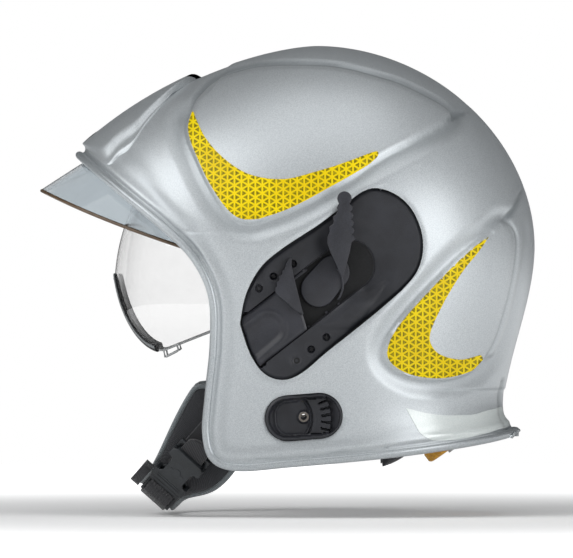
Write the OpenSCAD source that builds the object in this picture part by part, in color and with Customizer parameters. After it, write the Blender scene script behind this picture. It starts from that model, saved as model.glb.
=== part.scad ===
// Jet-type firefighter helmet with a stowed face shield, a lowered eye visor and a chin strap.
// The front of the helmet points along -X, +Z is up and the wearer's left side is at -Y.
// The origin is the middle of the head cavity.

/* [Shell] */
// Height of the crown above the middle of the head cavity
crown_z = 143; // [135:1:150]
// Fore and aft place of the highest point
crown_x = -18; // [-24:1:-12]
// Height of the widest level
waist_z = 13; // [8:1:18]
// Half of the shell's width at its widest level
half_width = 123; // [119:1:126]
// Reach of the front from the highest point
front_reach = 190.5; // [186:0.5:195]
// Reach of the back from the highest point
rear_reach = 141.2; // [138:0.1:145]
// Wall thickness of the shell
shell_t = 3; // [2.5:0.1:3.2]
// Height of the brim's tip
brim_z = 71; // [68:1:73]
// Height of the rear rim
rear_rim_z = -108; // [-111:1:-106]
// How far the neck draws in under the widest level
neck_in = 21; // [18:1:23]
// How far the rear rim flares out again
neck_flare = 9.9; // [6:0.1:11]
// Height at which the rear flare starts
flare_z = -88; // [-92:1:-84]
// How far the cheeks draw in towards the rim
cheek_in = 8; // [4:1:10]

/* [Visors] */
// Fore and aft place of the visor pivots
pivot_x = -17.5; // [-19:0.5:-16]
// Height of the visor pivots
pivot_z = -15; // [-17:0.5:-13]
// Radius of the pivot pins
pin_r = 5; // [4:0.5:6]
// Radial running clearance on the pivot pins
pin_gap = 0.06; // [0.02:0.01:0.1]
// Radius of the face shield at its upper end, from the pivots
shield_r = 149.5; // [147:0.5:150]
// Extra radius at the face shield's lower edge
shield_kick = 42; // [38:0.5:43]
// Half of the face shield's width at the pivots
shield_half = 101; // [100:0.5:101.5]
// Thickness of the face shield
shield_wall = 2; // [1.5:0.1:2.5]
// Radius of the eye visor from the pivots
eye_r = 132.3; // [130:0.1:133]
// Half of the eye visor's width at the pivots
eye_half = 95.5; // [94:0.5:96]
// Thickness of the eye visor
eye_wall = 2.2; // [1.8:0.1:2.6]

/* [Levers] */
// Angle of the lever channel above the horizontal
channel_angle = 38; // [36:0.5:40]
// Half of the lever channel's width
channel_half = 16.2; // [15.5:0.1:17]
// Pitch of the finger scallops on the face shield lever
scallop_pitch = 5; // [4:0.5:6]
// Radius of the small holes in the side housing
small_hole_r = 2.6; // [2:0.1:3]

/* [Accessory port] */
// Fore and aft place of the port
port_x = -27; // [-30:1:-24]
// Height of the port
port_z = -96.5; // [-98:0.5:-94]
// Length of the port
port_length = 49; // [45:1:52]
// Height of the port's opening
port_height = 28.5; // [26:0.5:31]
// Radius of the threaded insert's hole
thread_r = 2; // [1.5:0.1:2.5]

/* [Head fit] */
// Half of the head cavity's length
head_length = 98; // [92:1:100]
// Half of the head cavity's width
head_width = 78; // [74:1:80]
// Height of the head cavity over its middle
head_height = 92; // [88:1:95]
// Wall of the impact liner
liner_wall = 12; // [10:1:13]
// Radius of the ratchet knob
knob_r = 17; // [15:0.5:19]
// Width of the ratchet knob
knob_w = 8; // [6:0.5:9]

/* [Chin strap] */
// Width of the webbing
webbing_w = 20; // [18:1:22]
// Thickness of the webbing
webbing_t = 1.8; // [1.4:0.1:2.2]
// Width of the chin pad
pad_w = 56; // [50:1:60]
// Thickness of the chin pad
pad_t = 7; // [5:0.5:9]

/* [Hidden] */
$fn = 64;
dome_h = crown_z - waist_z;
front_power = 1.6;
rear_power = 1.93;
side_power = 2;
front_plan = 2;
rear_plan = 2.25;

// ---- shared mathematics ----
function unit01(t) = max(0, min(1, t));
function smooth(t) = let (c = unit01(t)) c * c * (3 - 2 * c);
function mix(a, b, t) = a + (b - a) * t;
function quarter(k, p) = pow(max(0, 1 - pow(unit01(k), p)), 1 / p);
function unit(v) = v / max(norm(v), 0.000001);

// A smooth curve through the points of list p, t from 0 to 1
function curve(p, t) =
    let (n = len(p) - 1, s = unit01(t) * n, i = min(floor(s), n - 1), f = s - i)
    let (a = p[max(i - 1, 0)], b = p[i], c = p[i + 1], d = p[min(i + 2, n)])
    0.5 * (2 * b + (c - a) * f + (2 * a - 5 * b + 4 * c - d) * f * f
        + (3 * b - a - 3 * c + d) * f * f * f);

// ---- the shell's outer surface ----
function rise(z) = (z - waist_z) / dome_h;
function front_axis(z) = front_reach * (z > waist_z ? quarter(rise(z), front_power) : 1);
function rear_low(z) = rear_reach - neck_in * smooth((waist_z - z) / 115)
    + neck_flare * pow(unit01((flare_z - z) / (flare_z - rear_rim_z)), 2);
function rear_axis(z) = z > waist_z ? rear_reach * quarter(rise(z), rear_power) : rear_low(z);
function side_axis(z) = z > waist_z ? half_width * quarter(rise(z), side_power)
    : half_width - cheek_in * smooth((waist_z - z) / dome_h);
// Half-width of the shell at a place in the side view
function shell_y(x, z) =
    let (ahead = x < crown_x, a = ahead ? front_axis(z) : rear_axis(z))
    side_axis(z) * quarter(abs(x - crown_x) / max(a, 0.001), ahead ? front_plan : rear_plan);

// Top line of the shell in the side view, u from the brim's tip to the rear rim
crown_u = 0.42;
back_u = 0.78;
neck_blend = 0.1;
brim_angle = asin(pow(rise(brim_z), front_power / 2));
function front_line(g) = [
    crown_x - front_reach * pow(cos(g), 2 / front_power),
    waist_z + dome_h * pow(sin(g), 2 / front_power)
];
function rear_line(g) = [
    crown_x + rear_reach * pow(cos(g), 2 / rear_power),
    waist_z + dome_h * pow(sin(g), 2 / rear_power)
];
function neck_line(t) = let (z = mix(waist_z, rear_rim_z, t)) [crown_x + rear_low(z), z];
function top_line(u) =
    u < crown_u ? front_line(mix(brim_angle, 90, u / crown_u))
    : u < back_u ? rear_line(mix(90, 0, (u - crown_u) / (back_u - crown_u)))
    : neck_line((u - back_u) / (1 - back_u));

// Lower edge of the shell in the side view: brim, face opening, cheek and rear rim
edge_points = [
    top_line(0), [-146, 47.5], [-117.8, 24.3], [-98.2, 4.6], [-86.9, -19.4], [-85.8, -50], [-88.8, -80],
    [-90.7, -107], [-85.6, -123.6], [-69.2, -129.3], [-35, -126.7], [0, -123.7], [35, -120.2],
    [69.6, -115.7], [94.5, -111.7], top_line(1)
];
function edge_line(u) = curve(edge_points, u);

// A point of the shell: u runs from front to back, v from the left edge over the top to the right
function shell_point(u, v, lift = 0) =
    let (w = sin(90 * (1 - abs(2 * v - 1))), e = edge_line(u), p = mix(e, top_line(u), w))
    let (k = mix((e[0] - crown_x) / rear_axis(e[1]), 1, w))
    let (x = mix(p[0], crown_x + k * rear_axis(p[1]), smooth((u - back_u) / neck_blend)))
    let (y = shell_y(x, p[1]) * (v < 0.5 ? -1 : 1))
    swell([x, y, p[1]], lift);

// Moves a point of the outer surface out by d, or in when d is negative
function swell(p, d) = [
    crown_x + (p[0] - crown_x) * (1 + d / (p[0] < crown_x ? front_reach : rear_reach)),
    p[1] * (1 + d / half_width),
    p[2] > waist_z ? waist_z + (p[2] - waist_z) * (1 + d / dome_h) : p[2]
];
// The same place on the left side, from its side view
function side_point(x, z, lift) = swell([x, -shell_y(x, z), z], lift);

// ---- solids from grids of points ----
function flat_list(g) = [for (row = g) each row];
// A closed solid between two grids of the same size
module grid_solid(front, back) {
    m = len(front);
    n = len(front[0]);
    k = m * n;
    faces = [
        for (i = [0:m - 2], j = [0:n - 2]) each let (a = i * n + j)
            [[a, a + 1, a + n + 1], [a, a + n + 1, a + n],
             [k + a, k + a + n + 1, k + a + 1], [k + a, k + a + n, k + a + n + 1]],
        for (i = [0:m - 2]) each let (a = i * n, b = i * n + n - 1)
            [[a, a + n, k + a + n], [a, k + a + n, k + a],
             [b, k + b + n, b + n], [b, k + b, k + b + n]],
        for (j = [0:n - 2]) each let (a = j, b = (m - 1) * n + j)
            [[a, k + a + 1, a + 1], [a, k + a, k + a + 1],
             [b, b + 1, k + b + 1], [b, k + b + 1, k + b]]
    ];
    polyhedron(concat(flat_list(front), flat_list(back)), faces, convexity = 8);
}

// A closed solid swept along rings that all have the same number of points
module ring_solid(rings, closed = false) {
    m = len(rings);
    n = len(rings[0]);
    last = closed ? m - 1 : m - 2;
    sides = [
        for (i = [0:last], j = [0:n - 1]) each
            let (a = i * n + j, b = i * n + (j + 1) % n, c = ((i + 1) % m) * n)
            [[a, b, c + (j + 1) % n], [a, c + (j + 1) % n, c + j]]
    ];
    caps = closed ? [] : [[for (j = [n - 1:-1:0]) j], [for (j = [0:n - 1]) (m - 1) * n + j]];
    polyhedron(flat_list(rings), concat(sides, caps), convexity = 8);
}

// Draws its children on the left side: extruded outwards from y = -low to y = -high
module outwards(low, high) {
    translate([0, -low, 0]) rotate([90, 0, 0]) linear_extrude(high - low) children();
}
module on_right() {
    mirror([0, 1, 0]) children();
}

// ---- shell ----
rows = 44;
half_cols = 15;
cut_gap = 0.45;
cols = 2 * half_cols;
function shell_grid(lift) = [
    for (i = [1:rows - 1]) [for (j = [0:cols]) shell_point(i / rows, j / cols, lift)]
];
function shell_points(lift) = concat(
    [shell_point(0, 0.5, lift)], flat_list(shell_grid(lift)), [shell_point(1, 0.5, lift)]
);
module shell_body() {
    n = cols + 1;
    k = (rows - 1) * n + 2;
    function at(i, j) = i == 0 ? 0 : i == rows ? k - 1 : 1 + (i - 1) * n + j;
    skin = [
        for (i = [0:rows - 1], j = [0:cols - 1]) each let (a = at(i, j), b = at(i, j + 1))
            let (c = at(i + 1, j + 1), d = at(i + 1, j))
            concat(a == b ? [] : [[a, b, c]], c == d ? [] : [[a, c, d]])
    ];
    loop = concat([for (i = [0:rows]) at(i, 0)], [for (i = [rows - 1:-1:1]) at(i, cols)]);
    m = len(loop);
    edge = [
        for (i = [0:m - 1]) each let (a = loop[i], b = loop[(i + 1) % m])
            [[a, b, b + k], [a, b + k, a + k]]
    ];
    inside = [for (f = skin) [f[2] + k, f[1] + k, f[0] + k]];
    polyhedron(concat(shell_points(0), shell_points(-shell_t)), concat(skin, inside, edge),
        convexity = 8);
}

// Outline of the side housing in the side view
housing_points = [
    [-67.5, -37], [-63.5, -18], [-54, -1], [-40, 11], [-18, 25.5], [-1, 38.5], [10, 47], [20, 49.3],
    [33, 44.5], [43, 34], [48.7, 18], [47.5, 2], [40, -11], [24, -25.5], [5, -41], [-12, -54.5],
    [-28, -68], [-40, -72.5], [-52, -68.5], [-61, -56], [-67.5, -37]
];
module housing_outline(grow = 0) {
    c = [-10, -12];
    polygon([
        for (i = [0:79]) let (p = curve(housing_points, i / 80)) p + unit(p - c) * grow
    ]);
}
module port_outline(grow = 0) {
    r = port_height / 2;
    reach = port_length / 2 - r;
    translate([port_x, port_z]) rotate(4.5) {
        translate([-reach, -r - grow]) square([2 * reach, 2 * (r + grow)]);
        for (s = [-1, 1]) translate([s * reach, 0]) circle(r + grow);
    }
}
module outer_shell() {
    color("#b3babf") resize([0, 2 * half_width, 0]) difference() {
        shell_body();
        for (s = [0, 1]) mirror([0, s, 0]) outwards(90, 140) {
            housing_outline(cut_gap);
            port_outline(cut_gap);
        }
    }
}

// A soft bead that wraps the shell's edge all the way round
trim_steps = 84;
module rim_trim() {
    function edge_at(u, side) =
        let (e = edge_line(u), y = shell_y(e[0], e[1]) * side)
        [e[0], y, e[1]];
    path = concat(
        [for (i = [0:trim_steps - 1]) edge_at(i / trim_steps, -1)],
        [for (i = [trim_steps:-1:1]) edge_at(i / trim_steps, 1)]
    );
    n = len(path);
    centre = [crown_x, 0, waist_z];
    rings = [
        for (i = [0:n - 1])
            let (p = path[i], t = unit(path[(i + 1) % n] - path[(i + n - 1) % n]))
            let (out = unit([p[0] - centre[0], p[1] * 1.2, 0]), down = unit(cross(out, t)))
            let (side = unit(cross(t, down)), mid = p - side * 1.5 + down * 1.9)
            [for (a = [0:45:315]) mid + side * 3 * cos(a) + down * 1.8 * sin(a)]
    ];
    color("#9aa2a7") ring_solid(rings, true);
}

// Raised plate over the brow
module front_plate() {
    function plate_point(u, v, lift) =
        let (a = mix(0.012, 0.235, u), half = mix(0.27, 0.09, smooth(u)))
        let (p = shell_point(a, 0.5 + (v - 0.5) * 2 * half, 0))
        swell(p, lift);
    steps = 10;
    side_steps = 12;
    function grid(lift) = [
        for (i = [0:steps]) [for (j = [0:side_steps]) plate_point(i / steps, j / side_steps,
            lift > 1 ? lift - 1.5 * (i == 0 || j == 0 || j == side_steps ? 1 : 0) : lift)]
    ];
    color("#a9b0b5") grid_solid(grid(4.6), grid(0.3));
}

// ---- side housing with the lever channel ----
housing_floor = 106;
housing_inner = 103.3;
function wall_top(x) = 115.6 - 0.052 * (x + 67);
module channel_outline(grow = 0) {
    translate([pivot_x, pivot_z]) rotate(channel_angle) {
        translate([-70, -channel_half - grow]) square([95, 2 * (channel_half + grow)]);
        translate([25, 0]) circle(channel_half + grow);
    }
}
upper_holes = [[-55.5, -14.5], [-46.2, -6.8], [-33.8, 1.2]];
lower_holes = [[-31.6, -60.5], [-22.2, -53.4], [-12.5, -45.6]];
module side_housing() {
    tilt = atan(0.052);
    difference() {
        outwards(housing_inner, 119) housing_outline();
        outwards(housing_floor, 125) channel_outline();
        translate([-67, -wall_top(-67), -90]) rotate([0, 0, tilt])
            translate([-30, -20, 0]) cube([180, 20, 160]);
        for (p = concat(upper_holes, lower_holes)) translate([p[0], 0, p[1]])
            rotate([90, 0, 0]) translate([0, 0, 108.5]) cylinder(r = small_hole_r, h = 12, $fn = 32);
        translate([pivot_x, 0, pivot_z]) rotate([90, 0, 0])
            translate([0, 0, 100]) cylinder(r = pin_r + 0.02, h = 8);
        translate([anchor_x, 0, anchor_z]) rotate([90, 0, 0])
            translate([0, 0, 100]) cylinder(r = post_r + 0.02, h = 5.2);
    }
}
module side_housing_left() {
    color("#2e3035") side_housing();
}
module side_housing_right() {
    color("#2e3035") on_right() side_housing();
}
// One screw near each end of the housing
module housing_screws() {
    color("#1d1e21") for (s = [0, 1], p = [upper_holes[0], lower_holes[0]]) mirror([0, s, 0])
        translate([p[0], 0, p[1]]) rotate([90, 0, 0]) translate([0, 0, 108.6]) difference() {
            cylinder(r = small_hole_r - 0.3, h = 4.4, $fn = 32);
            translate([0, 0, 3]) cylinder(r = 1.1, h = 3, $fn = 6);
        }
}

// ---- accessory port ----
port_floor = 108.5;
port_face = 115.9;
module accessory_port() {
    difference() {
        outwards(port_floor - 2.5, port_face) port_outline();
        difference() {
            outwards(port_floor, port_face + 5) port_outline(-2);
            translate([port_x, 0, port_z]) rotate([90, 0, 0])
                translate([0, 0, 100]) cylinder(r = 4.6, h = 11);
            for (k = [-2:2]) translate([port_x, 0, port_z]) rotate([0, -9 * k - 4.5, 0])
                translate([12, -port_floor - 3, -0.9]) cube([6, 4, 1.8]);
        }
        translate([port_x, 0, port_z]) rotate([90, 0, 0])
            translate([0, 0, 100]) cylinder(r = 3.2, h = 30);
    }
}
module accessory_port_left() {
    color("#2b2d31") accessory_port();
}
module accessory_port_right() {
    color("#2b2d31") on_right() accessory_port();
}
module port_insert() {
    translate([port_x, 0, port_z]) rotate([90, 0, 0]) translate([0, 0, port_floor - 2.5])
        difference() {
            cylinder(r = 3.2, h = 5.3);
            translate([0, 0, -1]) cylinder(r = thread_r, h = 8);
        }
}
module port_insert_left() {
    color("#b08d57") port_insert();
}
module port_insert_right() {
    color("#b08d57") on_right() port_insert();
}

// ---- reflective stickers: thin skins between an outer and an inner curve ----
sticker_t = 0.5;
sticker_gap = 0.6;
module sticker(outer, inner, steps, across) {
    function place(t, s, lift) =
        let (p = mix(curve(outer, t), curve(inner, t), s)) side_point(p[0], p[1], lift);
    function grid(lift) = [
        for (i = [0:steps]) [for (j = [0:across]) place(i / steps, j / across, lift)]
    ];
    grid_solid(grid(sticker_gap + sticker_t), grid(sticker_gap));
}
front_outer = [[-99, 98.5], [-101, 85], [-92.5, 62], [-81, 42], [-68, 29.5], [-55, 30],
    [-32, 38.5], [-4, 53], [20, 70.2]];
front_inner = [[-97.8, 98.7], [-93.5, 85.5], [-82, 72], [-70, 63], [-54, 56.5], [-40, 55.4],
    [-22, 58.8], [-2, 66.2], [19.6, 72.2]];
module front_reflectors() {
    color("#e8cf00") for (s = [0, 1]) mirror([0, s, 0]) sticker(front_outer, front_inner, 26, 4);
}
rear_outer = [[91.8, 18.6], [69, 1], [49, -20.5], [33, -40], [26.5, -56], [36, -68], [58, -72],
    [77, -69], [88.2, -59.5]];
rear_inner = [[91.3, 18], [77, -1.5], [64.5, -22], [56, -38], [54, -49.5], [58.5, -56.5],
    [69, -60], [79, -59], [87, -57.6]];
module rear_reflectors() {
    color("#e8cf00") for (s = [0, 1]) mirror([0, s, 0]) sticker(rear_outer, rear_inner, 26, 4);
}
strip_top = [[38.5, -91], [52.5, -94.6], [65, -96], [78, -95.2], [90, -93.2], [101.5, -91]];
strip_low = [[43, -100], [52.5, -110.4], [65, -111.4], [78, -110.4], [90, -108], [104, -104]];
module rear_strip() {
    color("#d5dbd9") for (s = [0, 1]) mirror([0, s, 0]) sticker(strip_low, strip_top, 20, 5);
}

// ---- liner and head fit ----
head_x = 8;
head_z = 5;
// A point of an egg round the head: turn round Z from the front, tip down from the top
function egg(turn, tip, grow) = [
    head_x - (head_length + grow) * cos(turn) * sin(tip),
    -(head_width + grow) * sin(turn) * sin(tip),
    head_z + (head_height + grow) * cos(tip)
];
// How far down the cap reaches: brow, over the ears, nape
function cap_tip(turn) = 77 + 27 * smooth((1 - cos(turn)) / 2) - 2 * sin(turn);
module cap_solid(inner, wall, share) {
    turns = 36;
    steps = 9;
    function ring(k, grow) = [
        for (i = [0:turns - 1]) let (a = i * 360 / turns) egg(a, cap_tip(a) * share * k / steps, grow)
    ];
    n = turns;
    outer = [for (k = [steps:-1:1]) ring(k, inner + wall)];
    inside = [for (k = [1:steps]) ring(k, inner)];
    rings = concat(outer, inside);
    points = concat([egg(0, 0, inner + wall), egg(0, 0, inner)], flat_list(rings));
    m = len(rings);
    skip = steps - 1;
    faces = concat(
        [for (i = [0:m - 1], j = [0:n - 1]) each
            let (a = 2 + i * n + j, b = 2 + i * n + (j + 1) % n, c = 2 + ((i + 1) % m) * n)
            i == skip ? [] : [[a, c + j, c + (j + 1) % n], [a, c + (j + 1) % n, b]]],
        [for (j = [0:n - 1]) let (a = 2 + skip * n) [0, a + (j + 1) % n, a + j]],
        [for (j = [0:n - 1]) let (a = 2 + steps * n) [1, a + j, a + (j + 1) % n]]
    );
    polyhedron(points, faces, convexity = 6);
}
module impact_liner() {
    color("#3a3d40") cap_solid(0.3, liner_wall, 1);
}
module comfort_cap() {
    color("#26282b") cap_solid(-3, 2.2, 0.66);
}
ring_top = 34;
ring_low = 12;
module egg_outline(grow) {
    polygon([
        for (a = [0:6:354]) [head_x - (head_length + grow) * cos(a), (head_width + grow) * sin(a)]
    ]);
}
module head_ring() {
    color("#1f2124") translate([0, 0, ring_low + 4]) linear_extrude(ring_top - ring_low - 8)
        difference() {
            egg_outline(-6.6);
            egg_outline(-8.4);
        }
}
module sweatband() {
    color("#4a3a2e") translate([0, 0, ring_low + 1]) linear_extrude(ring_top - ring_low - 2)
        intersection() {
            difference() {
                egg_outline(-8.6);
                egg_outline(-11.8);
            }
            translate([-120, -70]) square([90, 140]);
        }
}
// Soft pads between the head and the shell, below the liner on both sides
module side_pads() {
    color("#2a2c2f") for (s = [0, 1]) mirror([0, s, 0]) outwards(79, 88) {
        translate([-30, -95]) square([62, 45]);
        translate([1, -50]) circle(31);
    }
}

// ---- pivots ----
module at_pivot() {
    translate([pivot_x, 0, pivot_z]) rotate([90, 0, 0]) children();
}
module pivot_pins() {
    color("#8c9296") for (s = [0, 1]) mirror([0, s, 0]) at_pivot() {
        translate([0, 0, 92]) cylinder(r = pin_r, h = 13.9);
        translate([0, 0, 90.4]) cylinder(r = 8, h = 2.4);
    }
}
module arm_bore() {
    at_pivot() translate([0, 0, 80]) cylinder(r = pin_r + pin_gap, h = 30);
}

// ---- face shield, stowed ----
shield_low = 160.4;
shield_top = 100;
shield_plan = 2.2;
shield_bend = 3.3;
function shield_radius(a) =
    shield_r + shield_kick * pow(max(0, a - 105) / (shield_low - 105), shield_bend);
// A point of the shield: a turns about the pivots, f runs across from -1 to 1
function shield_point(k, f, inset) =
    let (phi = 78 * abs(f), low = shield_low + 3 * pow(sin(phi), 2))
    let (top = shield_top + 38 * smooth((phi - 35) / 43), a = mix(top, low, k))
    let (r = (shield_radius(a) - inset) * pow(cos(phi), 2 / shield_plan))
    let (y = (shield_half - inset) * pow(sin(phi), 2 / shield_plan))
    [pivot_x + r * cos(a), y * sign(f), pivot_z + r * sin(a)];
module face_shield() {
    down = 14;
    across = 30;
    function grid(inset) = [
        for (i = [0:down]) [for (j = [0:across]) shield_point(i / down, 2 * j / across - 1, inset)]
    ];
    color("#9aa0a6", 0.5) grid_solid(grid(shield_wall), grid(0));
}
module shield_arm() {
    difference() {
        outwards(98, 102.5) translate([pivot_x, pivot_z]) {
            circle(15);
            rotate(150) polygon([[0, -15], [44, -13], [52, 0], [44, 15], [0, 15]]);
        }
        arm_bore();
    }
}
module shield_arm_left() {
    color("#303236") shield_arm();
}
module shield_arm_right() {
    color("#303236") on_right() shield_arm();
}
module shield_washers() {
    color("#c9c9c4") for (s = [0, 1]) mirror([0, s, 0]) at_pivot() translate([0, 0, 96.9])
        difference() {
            cylinder(r = 11, h = 0.9);
            translate([0, 0, -1]) cylinder(r = pin_r + pin_gap, h = 4);
        }
}

// ---- eye visor, lowered ----
eye_top = 150;
eye_plan = 2.3;
// Lowest angle of the lens: high over the nose, low at the cheeks
function eye_low(phi) = mix(177, 201.5, smooth((phi - 3) / 36));
function eye_point(k, f, inset) =
    let (phi = 76 * abs(f), top = eye_top + 16 * smooth((phi - 30) / 40), a = mix(top, eye_low(phi), k))
    let (r = (eye_r - inset) * pow(cos(phi), 2 / eye_plan))
    let (y = (eye_half - inset) * pow(sin(phi), 2 / eye_plan))
    [pivot_x + r * cos(a), y * sign(f), pivot_z + r * sin(a)];
module eye_lens() {
    down = 14;
    across = 32;
    function grid(inset) = [
        for (i = [0:down]) [for (j = [0:across]) eye_point(i / down, 2 * j / across - 1, inset)]
    ];
    color("#f2f4f4", 0.35) grid_solid(grid(eye_wall), grid(0));
}
// A rubber channel that grips the lens from the nose to the cheeks
module eye_rubber() {
    steps = 24;
    reach = 0.46;
    function station(i) = 2 * i / steps - 1;
    rings = [
        for (i = [0:steps])
            let (f = station(i) * reach)
            let (out = eye_point(1, f, -0.9), in = eye_point(1, f, eye_wall + 0.9))
            let (up = unit(eye_point(0.9, f, 1) - eye_point(1, f, 1)))
            [in - up * 1.2, in + up * 3.4, out + up * 3.4, out - up * 1.2]
    ];
    color("#1b1c1e") ring_solid(rings);
}
module eye_arm() {
    difference() {
        union() {
            about_pivot(93.2, 96.7) circle(13);
            about_pivot(93.2, 95.8) rotate(184) polygon([[0, -13], [32, -12], [41, 0], [32, 12], [0, 13]]);
        }
        arm_bore();
    }
}
module eye_arm_left() {
    color("#26282b") eye_arm();
}
module eye_arm_right() {
    color("#26282b") on_right() eye_arm();
}

// ---- levers, drawn round the pivot in the side view ----
module about_pivot(low, high) {
    outwards(low, high) translate([pivot_x, pivot_z]) children();
}
module shield_lever() {
    about_pivot(106.4, 108.6) {
        circle(11.5);
        rotate(50) translate([0, -11]) square([14, 22]);
        rotate(50) translate([14, 0]) circle(11);
    }
    about_pivot(108.6, 125.4) polygon([[15.5, 8], [20, 24], [21, 30], [15.5, 30.5], [11, 24], [11.5, 18]]);
    about_pivot(123, 125.4) {
        polygon([[15.5, 8], [11.5, 18], [8.6, 30], [8.4, 38], [11.6, 41], [11.2, 46], [13.4, 48],
            [12.8, 55], [20, 55], [21, 50], [21.4, 30], [20, 24]]);
        translate([16.4, 57.6]) circle(4.6);
        for (k = [0:4]) translate([20.4, 31 + k * scallop_pitch]) circle(2.3, $fn = 24);
    }
}
module shield_lever_left() {
    color("#3a3c41") shield_lever();
}
module shield_lever_right() {
    color("#3a3c41") on_right() shield_lever();
}
module eye_lever() {
    difference() {
        about_pivot(109, 113) intersection() {
            polygon([[-49.5, -18.5], [-27.5, -0.6], [-17.2, 7], [-7.2, -25.8], [-36.5, -49.5],
                [-47, -40]]);
            rotate(channel_angle) translate([-60, -channel_half + 0.5])
                square([70, 2 * channel_half - 1.2]);
            translate([-pivot_x, -pivot_z]) housing_outline(-0.8);
        }
        translate([-47, 0, -39]) rotate([90, 0, 0]) translate([0, 0, 111.5])
            cylinder(r = 12, h = 5);
    }
    about_pivot(113, 118.4) polygon([[-26, -1], [-20, 3], [-15, 3], [-9.5, -16], [-14, -14]]);
    about_pivot(115.8, 118.4) {
        polygon([[-27.5, -2], [-27, 4], [-24, 8.5], [-21.5, 14], [-18.6, 19.8], [-17.2, 16.3],
            [-9.5, -16], [-14, -14]]);
        for (p = [[-27, 2.5], [-24.6, 7.5], [-22, 12.5]]) translate(p) circle(1.4, $fn = 24);
    }
}
module eye_lever_left() {
    color("#43454a") eye_lever();
}
module eye_lever_right() {
    color("#43454a") on_right() eye_lever();
}

// ---- nape cradle and ratchet ----
knob_x = 69;
knob_z = -118;
knob_tilt = 144;
shaft_r = 3;
gear_r = 6;
function nape_point(a, out, z) = [12 + (38 + out) * cos(a), (62 + out) * sin(a), z];
// A band round the nape that drops by sag at its two ends
module nape_band(out, thick, low, high, sweep, sag) {
    steps = 24;
    rings = [
        for (i = [0:steps]) let (a = mix(-sweep, sweep, i / steps), drop = sag * pow(sin(a), 2))
            [nape_point(a, out, low - drop), nape_point(a, out + thick, low - drop),
             nape_point(a, out + thick, high), nape_point(a, out, high)]
    ];
    ring_solid(rings);
}
module nape_cradle() {
    color("#222427") nape_band(0, 2.4, -112, -90, 84, 0);
}
module nape_pad() {
    color("#2d2f33") nape_band(-7, 6.7, -117, -86, 70, 14);
}
module at_knob() {
    translate([knob_x, 0, knob_z]) rotate([0, knob_tilt, 0]) children();
}
module ratchet_bracket() {
    color("#1c1d20") at_knob() difference() {
        translate([0, 0, -16]) cylinder(r = 13, h = 11.6);
        translate([0, 0, -11]) cylinder(r = gear_r + 0.6, h = 5.2);
        translate([0, 0, -7]) cylinder(r = shaft_r + 0.05, h = 4);
    }
}
module ratchet_knob() {
    color("#d99a2b") at_knob() translate([0, 0, -knob_w / 2]) difference() {
        cylinder(r = knob_r, h = knob_w);
        for (k = [0:17]) rotate(20 * k) translate([knob_r + 0.6, 0, -1])
            cylinder(r = 1.6, h = knob_w + 2, $fn = 16);
        translate([0, 0, -1]) cylinder(r = shaft_r, h = knob_w - 1);
    }
}
module ratchet_pinion() {
    color("#777b80") at_knob() {
        translate([0, 0, -10.4]) cylinder(r = shaft_r, h = 12.4);
        difference() {
            translate([0, 0, -10.4]) cylinder(r = gear_r, h = 4);
            for (k = [0:9]) rotate(36 * k) translate([gear_r + 0.2, 0, -12])
                cylinder(r = 1.2, h = 7, $fn = 16);
        }
    }
}

// ---- chin strap, drawn in its own frame: X down along the strap, Y to the right, Z backwards ----
anchor_x = -46;
anchor_z = -62;
strap_slope = 131.4;
post_r = 3.5;
// Middle line of the left half of the strap: distance down from the anchor, and side
strap_half = [[0, -91], [35, -90], [65, -84.5], [85, -76.5], [100, -65], [111, -47], [117, -24]];
strap_line = concat(strap_half, [[118.5, 0]],
    [for (i = [len(strap_half) - 1:-1:0]) [strap_half[i][0], -strap_half[i][1]]]);
buckle_at = [88.5, -74.6];
buckle_turn = 34;
module strap_frame() {
    translate([anchor_x, 0, anchor_z]) rotate([0, strap_slope, 0]) children();
}
function strap_offset(t, d) =
    let (run = unit(curve(strap_line, t + 0.004) - curve(strap_line, t - 0.004)))
    curve(strap_line, t) + d * [run[1], -run[0]];
// A band along the strap between shares from and to of its line, from inside d0 to outside d1
module band(from, to, d0, d1, width) {
    steps = round(70 * (to - from)) + 4;
    translate([0, 0, -width / 2]) linear_extrude(width) polygon(concat(
        [for (i = [0:steps]) strap_offset(mix(from, to, i / steps), d1)],
        [for (i = [steps:-1:0]) strap_offset(mix(from, to, i / steps), d0)]
    ));
}
module post_hole() {
    rotate([90, 0, 0]) translate([0, 0, -110]) cylinder(r = post_r + 0.06, h = 220);
}
strap_end = 0.2;
insert_end = 0.365;
module side_strap_left() {
    color("#17181a") strap_frame() difference() {
        union() {
            band(0.002, strap_end, 0, webbing_t, webbing_w);
            translate([0, -90.2, 0]) rotate([90, 0, 0]) cylinder(r = webbing_w / 2, h = webbing_t);
        }
        post_hole();
    }
}
module chin_webbing() {
    color("#17181a") strap_frame() difference() {
        union() {
            band(insert_end, 0.998, 0, webbing_t, webbing_w);
            translate([0, 92, 0]) rotate([90, 0, 0]) cylinder(r = webbing_w / 2, h = webbing_t);
        }
        post_hole();
    }
}
// Padded strap under the webbing, wide at the cheeks and narrow at the chin
module chin_pad() {
    half = pad_w / 2;
    color("#202124") strap_frame() intersection() {
        band(0.07, 0.93, -pad_t - 0.4, -0.4, pad_w);
        rotate([90, 0, 0]) translate([0, 0, -110]) linear_extrude(220) polygon([
            [22, 4 - half], [37, -half], [56, 2.5 - half], [80, 9 - half], [102, -13], [130, -13],
            [130, 13], [103, 13], [89, half - 4.5], [72, half - 2], [42, half - 6], [30, half - 12], [22, half - 18]
        ]);
    }
}
module strap_anchors() {
    color("#3b3d41") for (s = [-1, 1]) translate([anchor_x, 0, anchor_z]) rotate([90 * s, 0, 0]) {
        translate([0, 0, 88.4]) cylinder(r = post_r, h = 16.6);
        translate([0, 0, 88.4]) cylinder(r = 6, h = 1.2);
        translate([0, 0, 93]) cylinder(r = 8, h = 2.5);
    }
}

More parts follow.
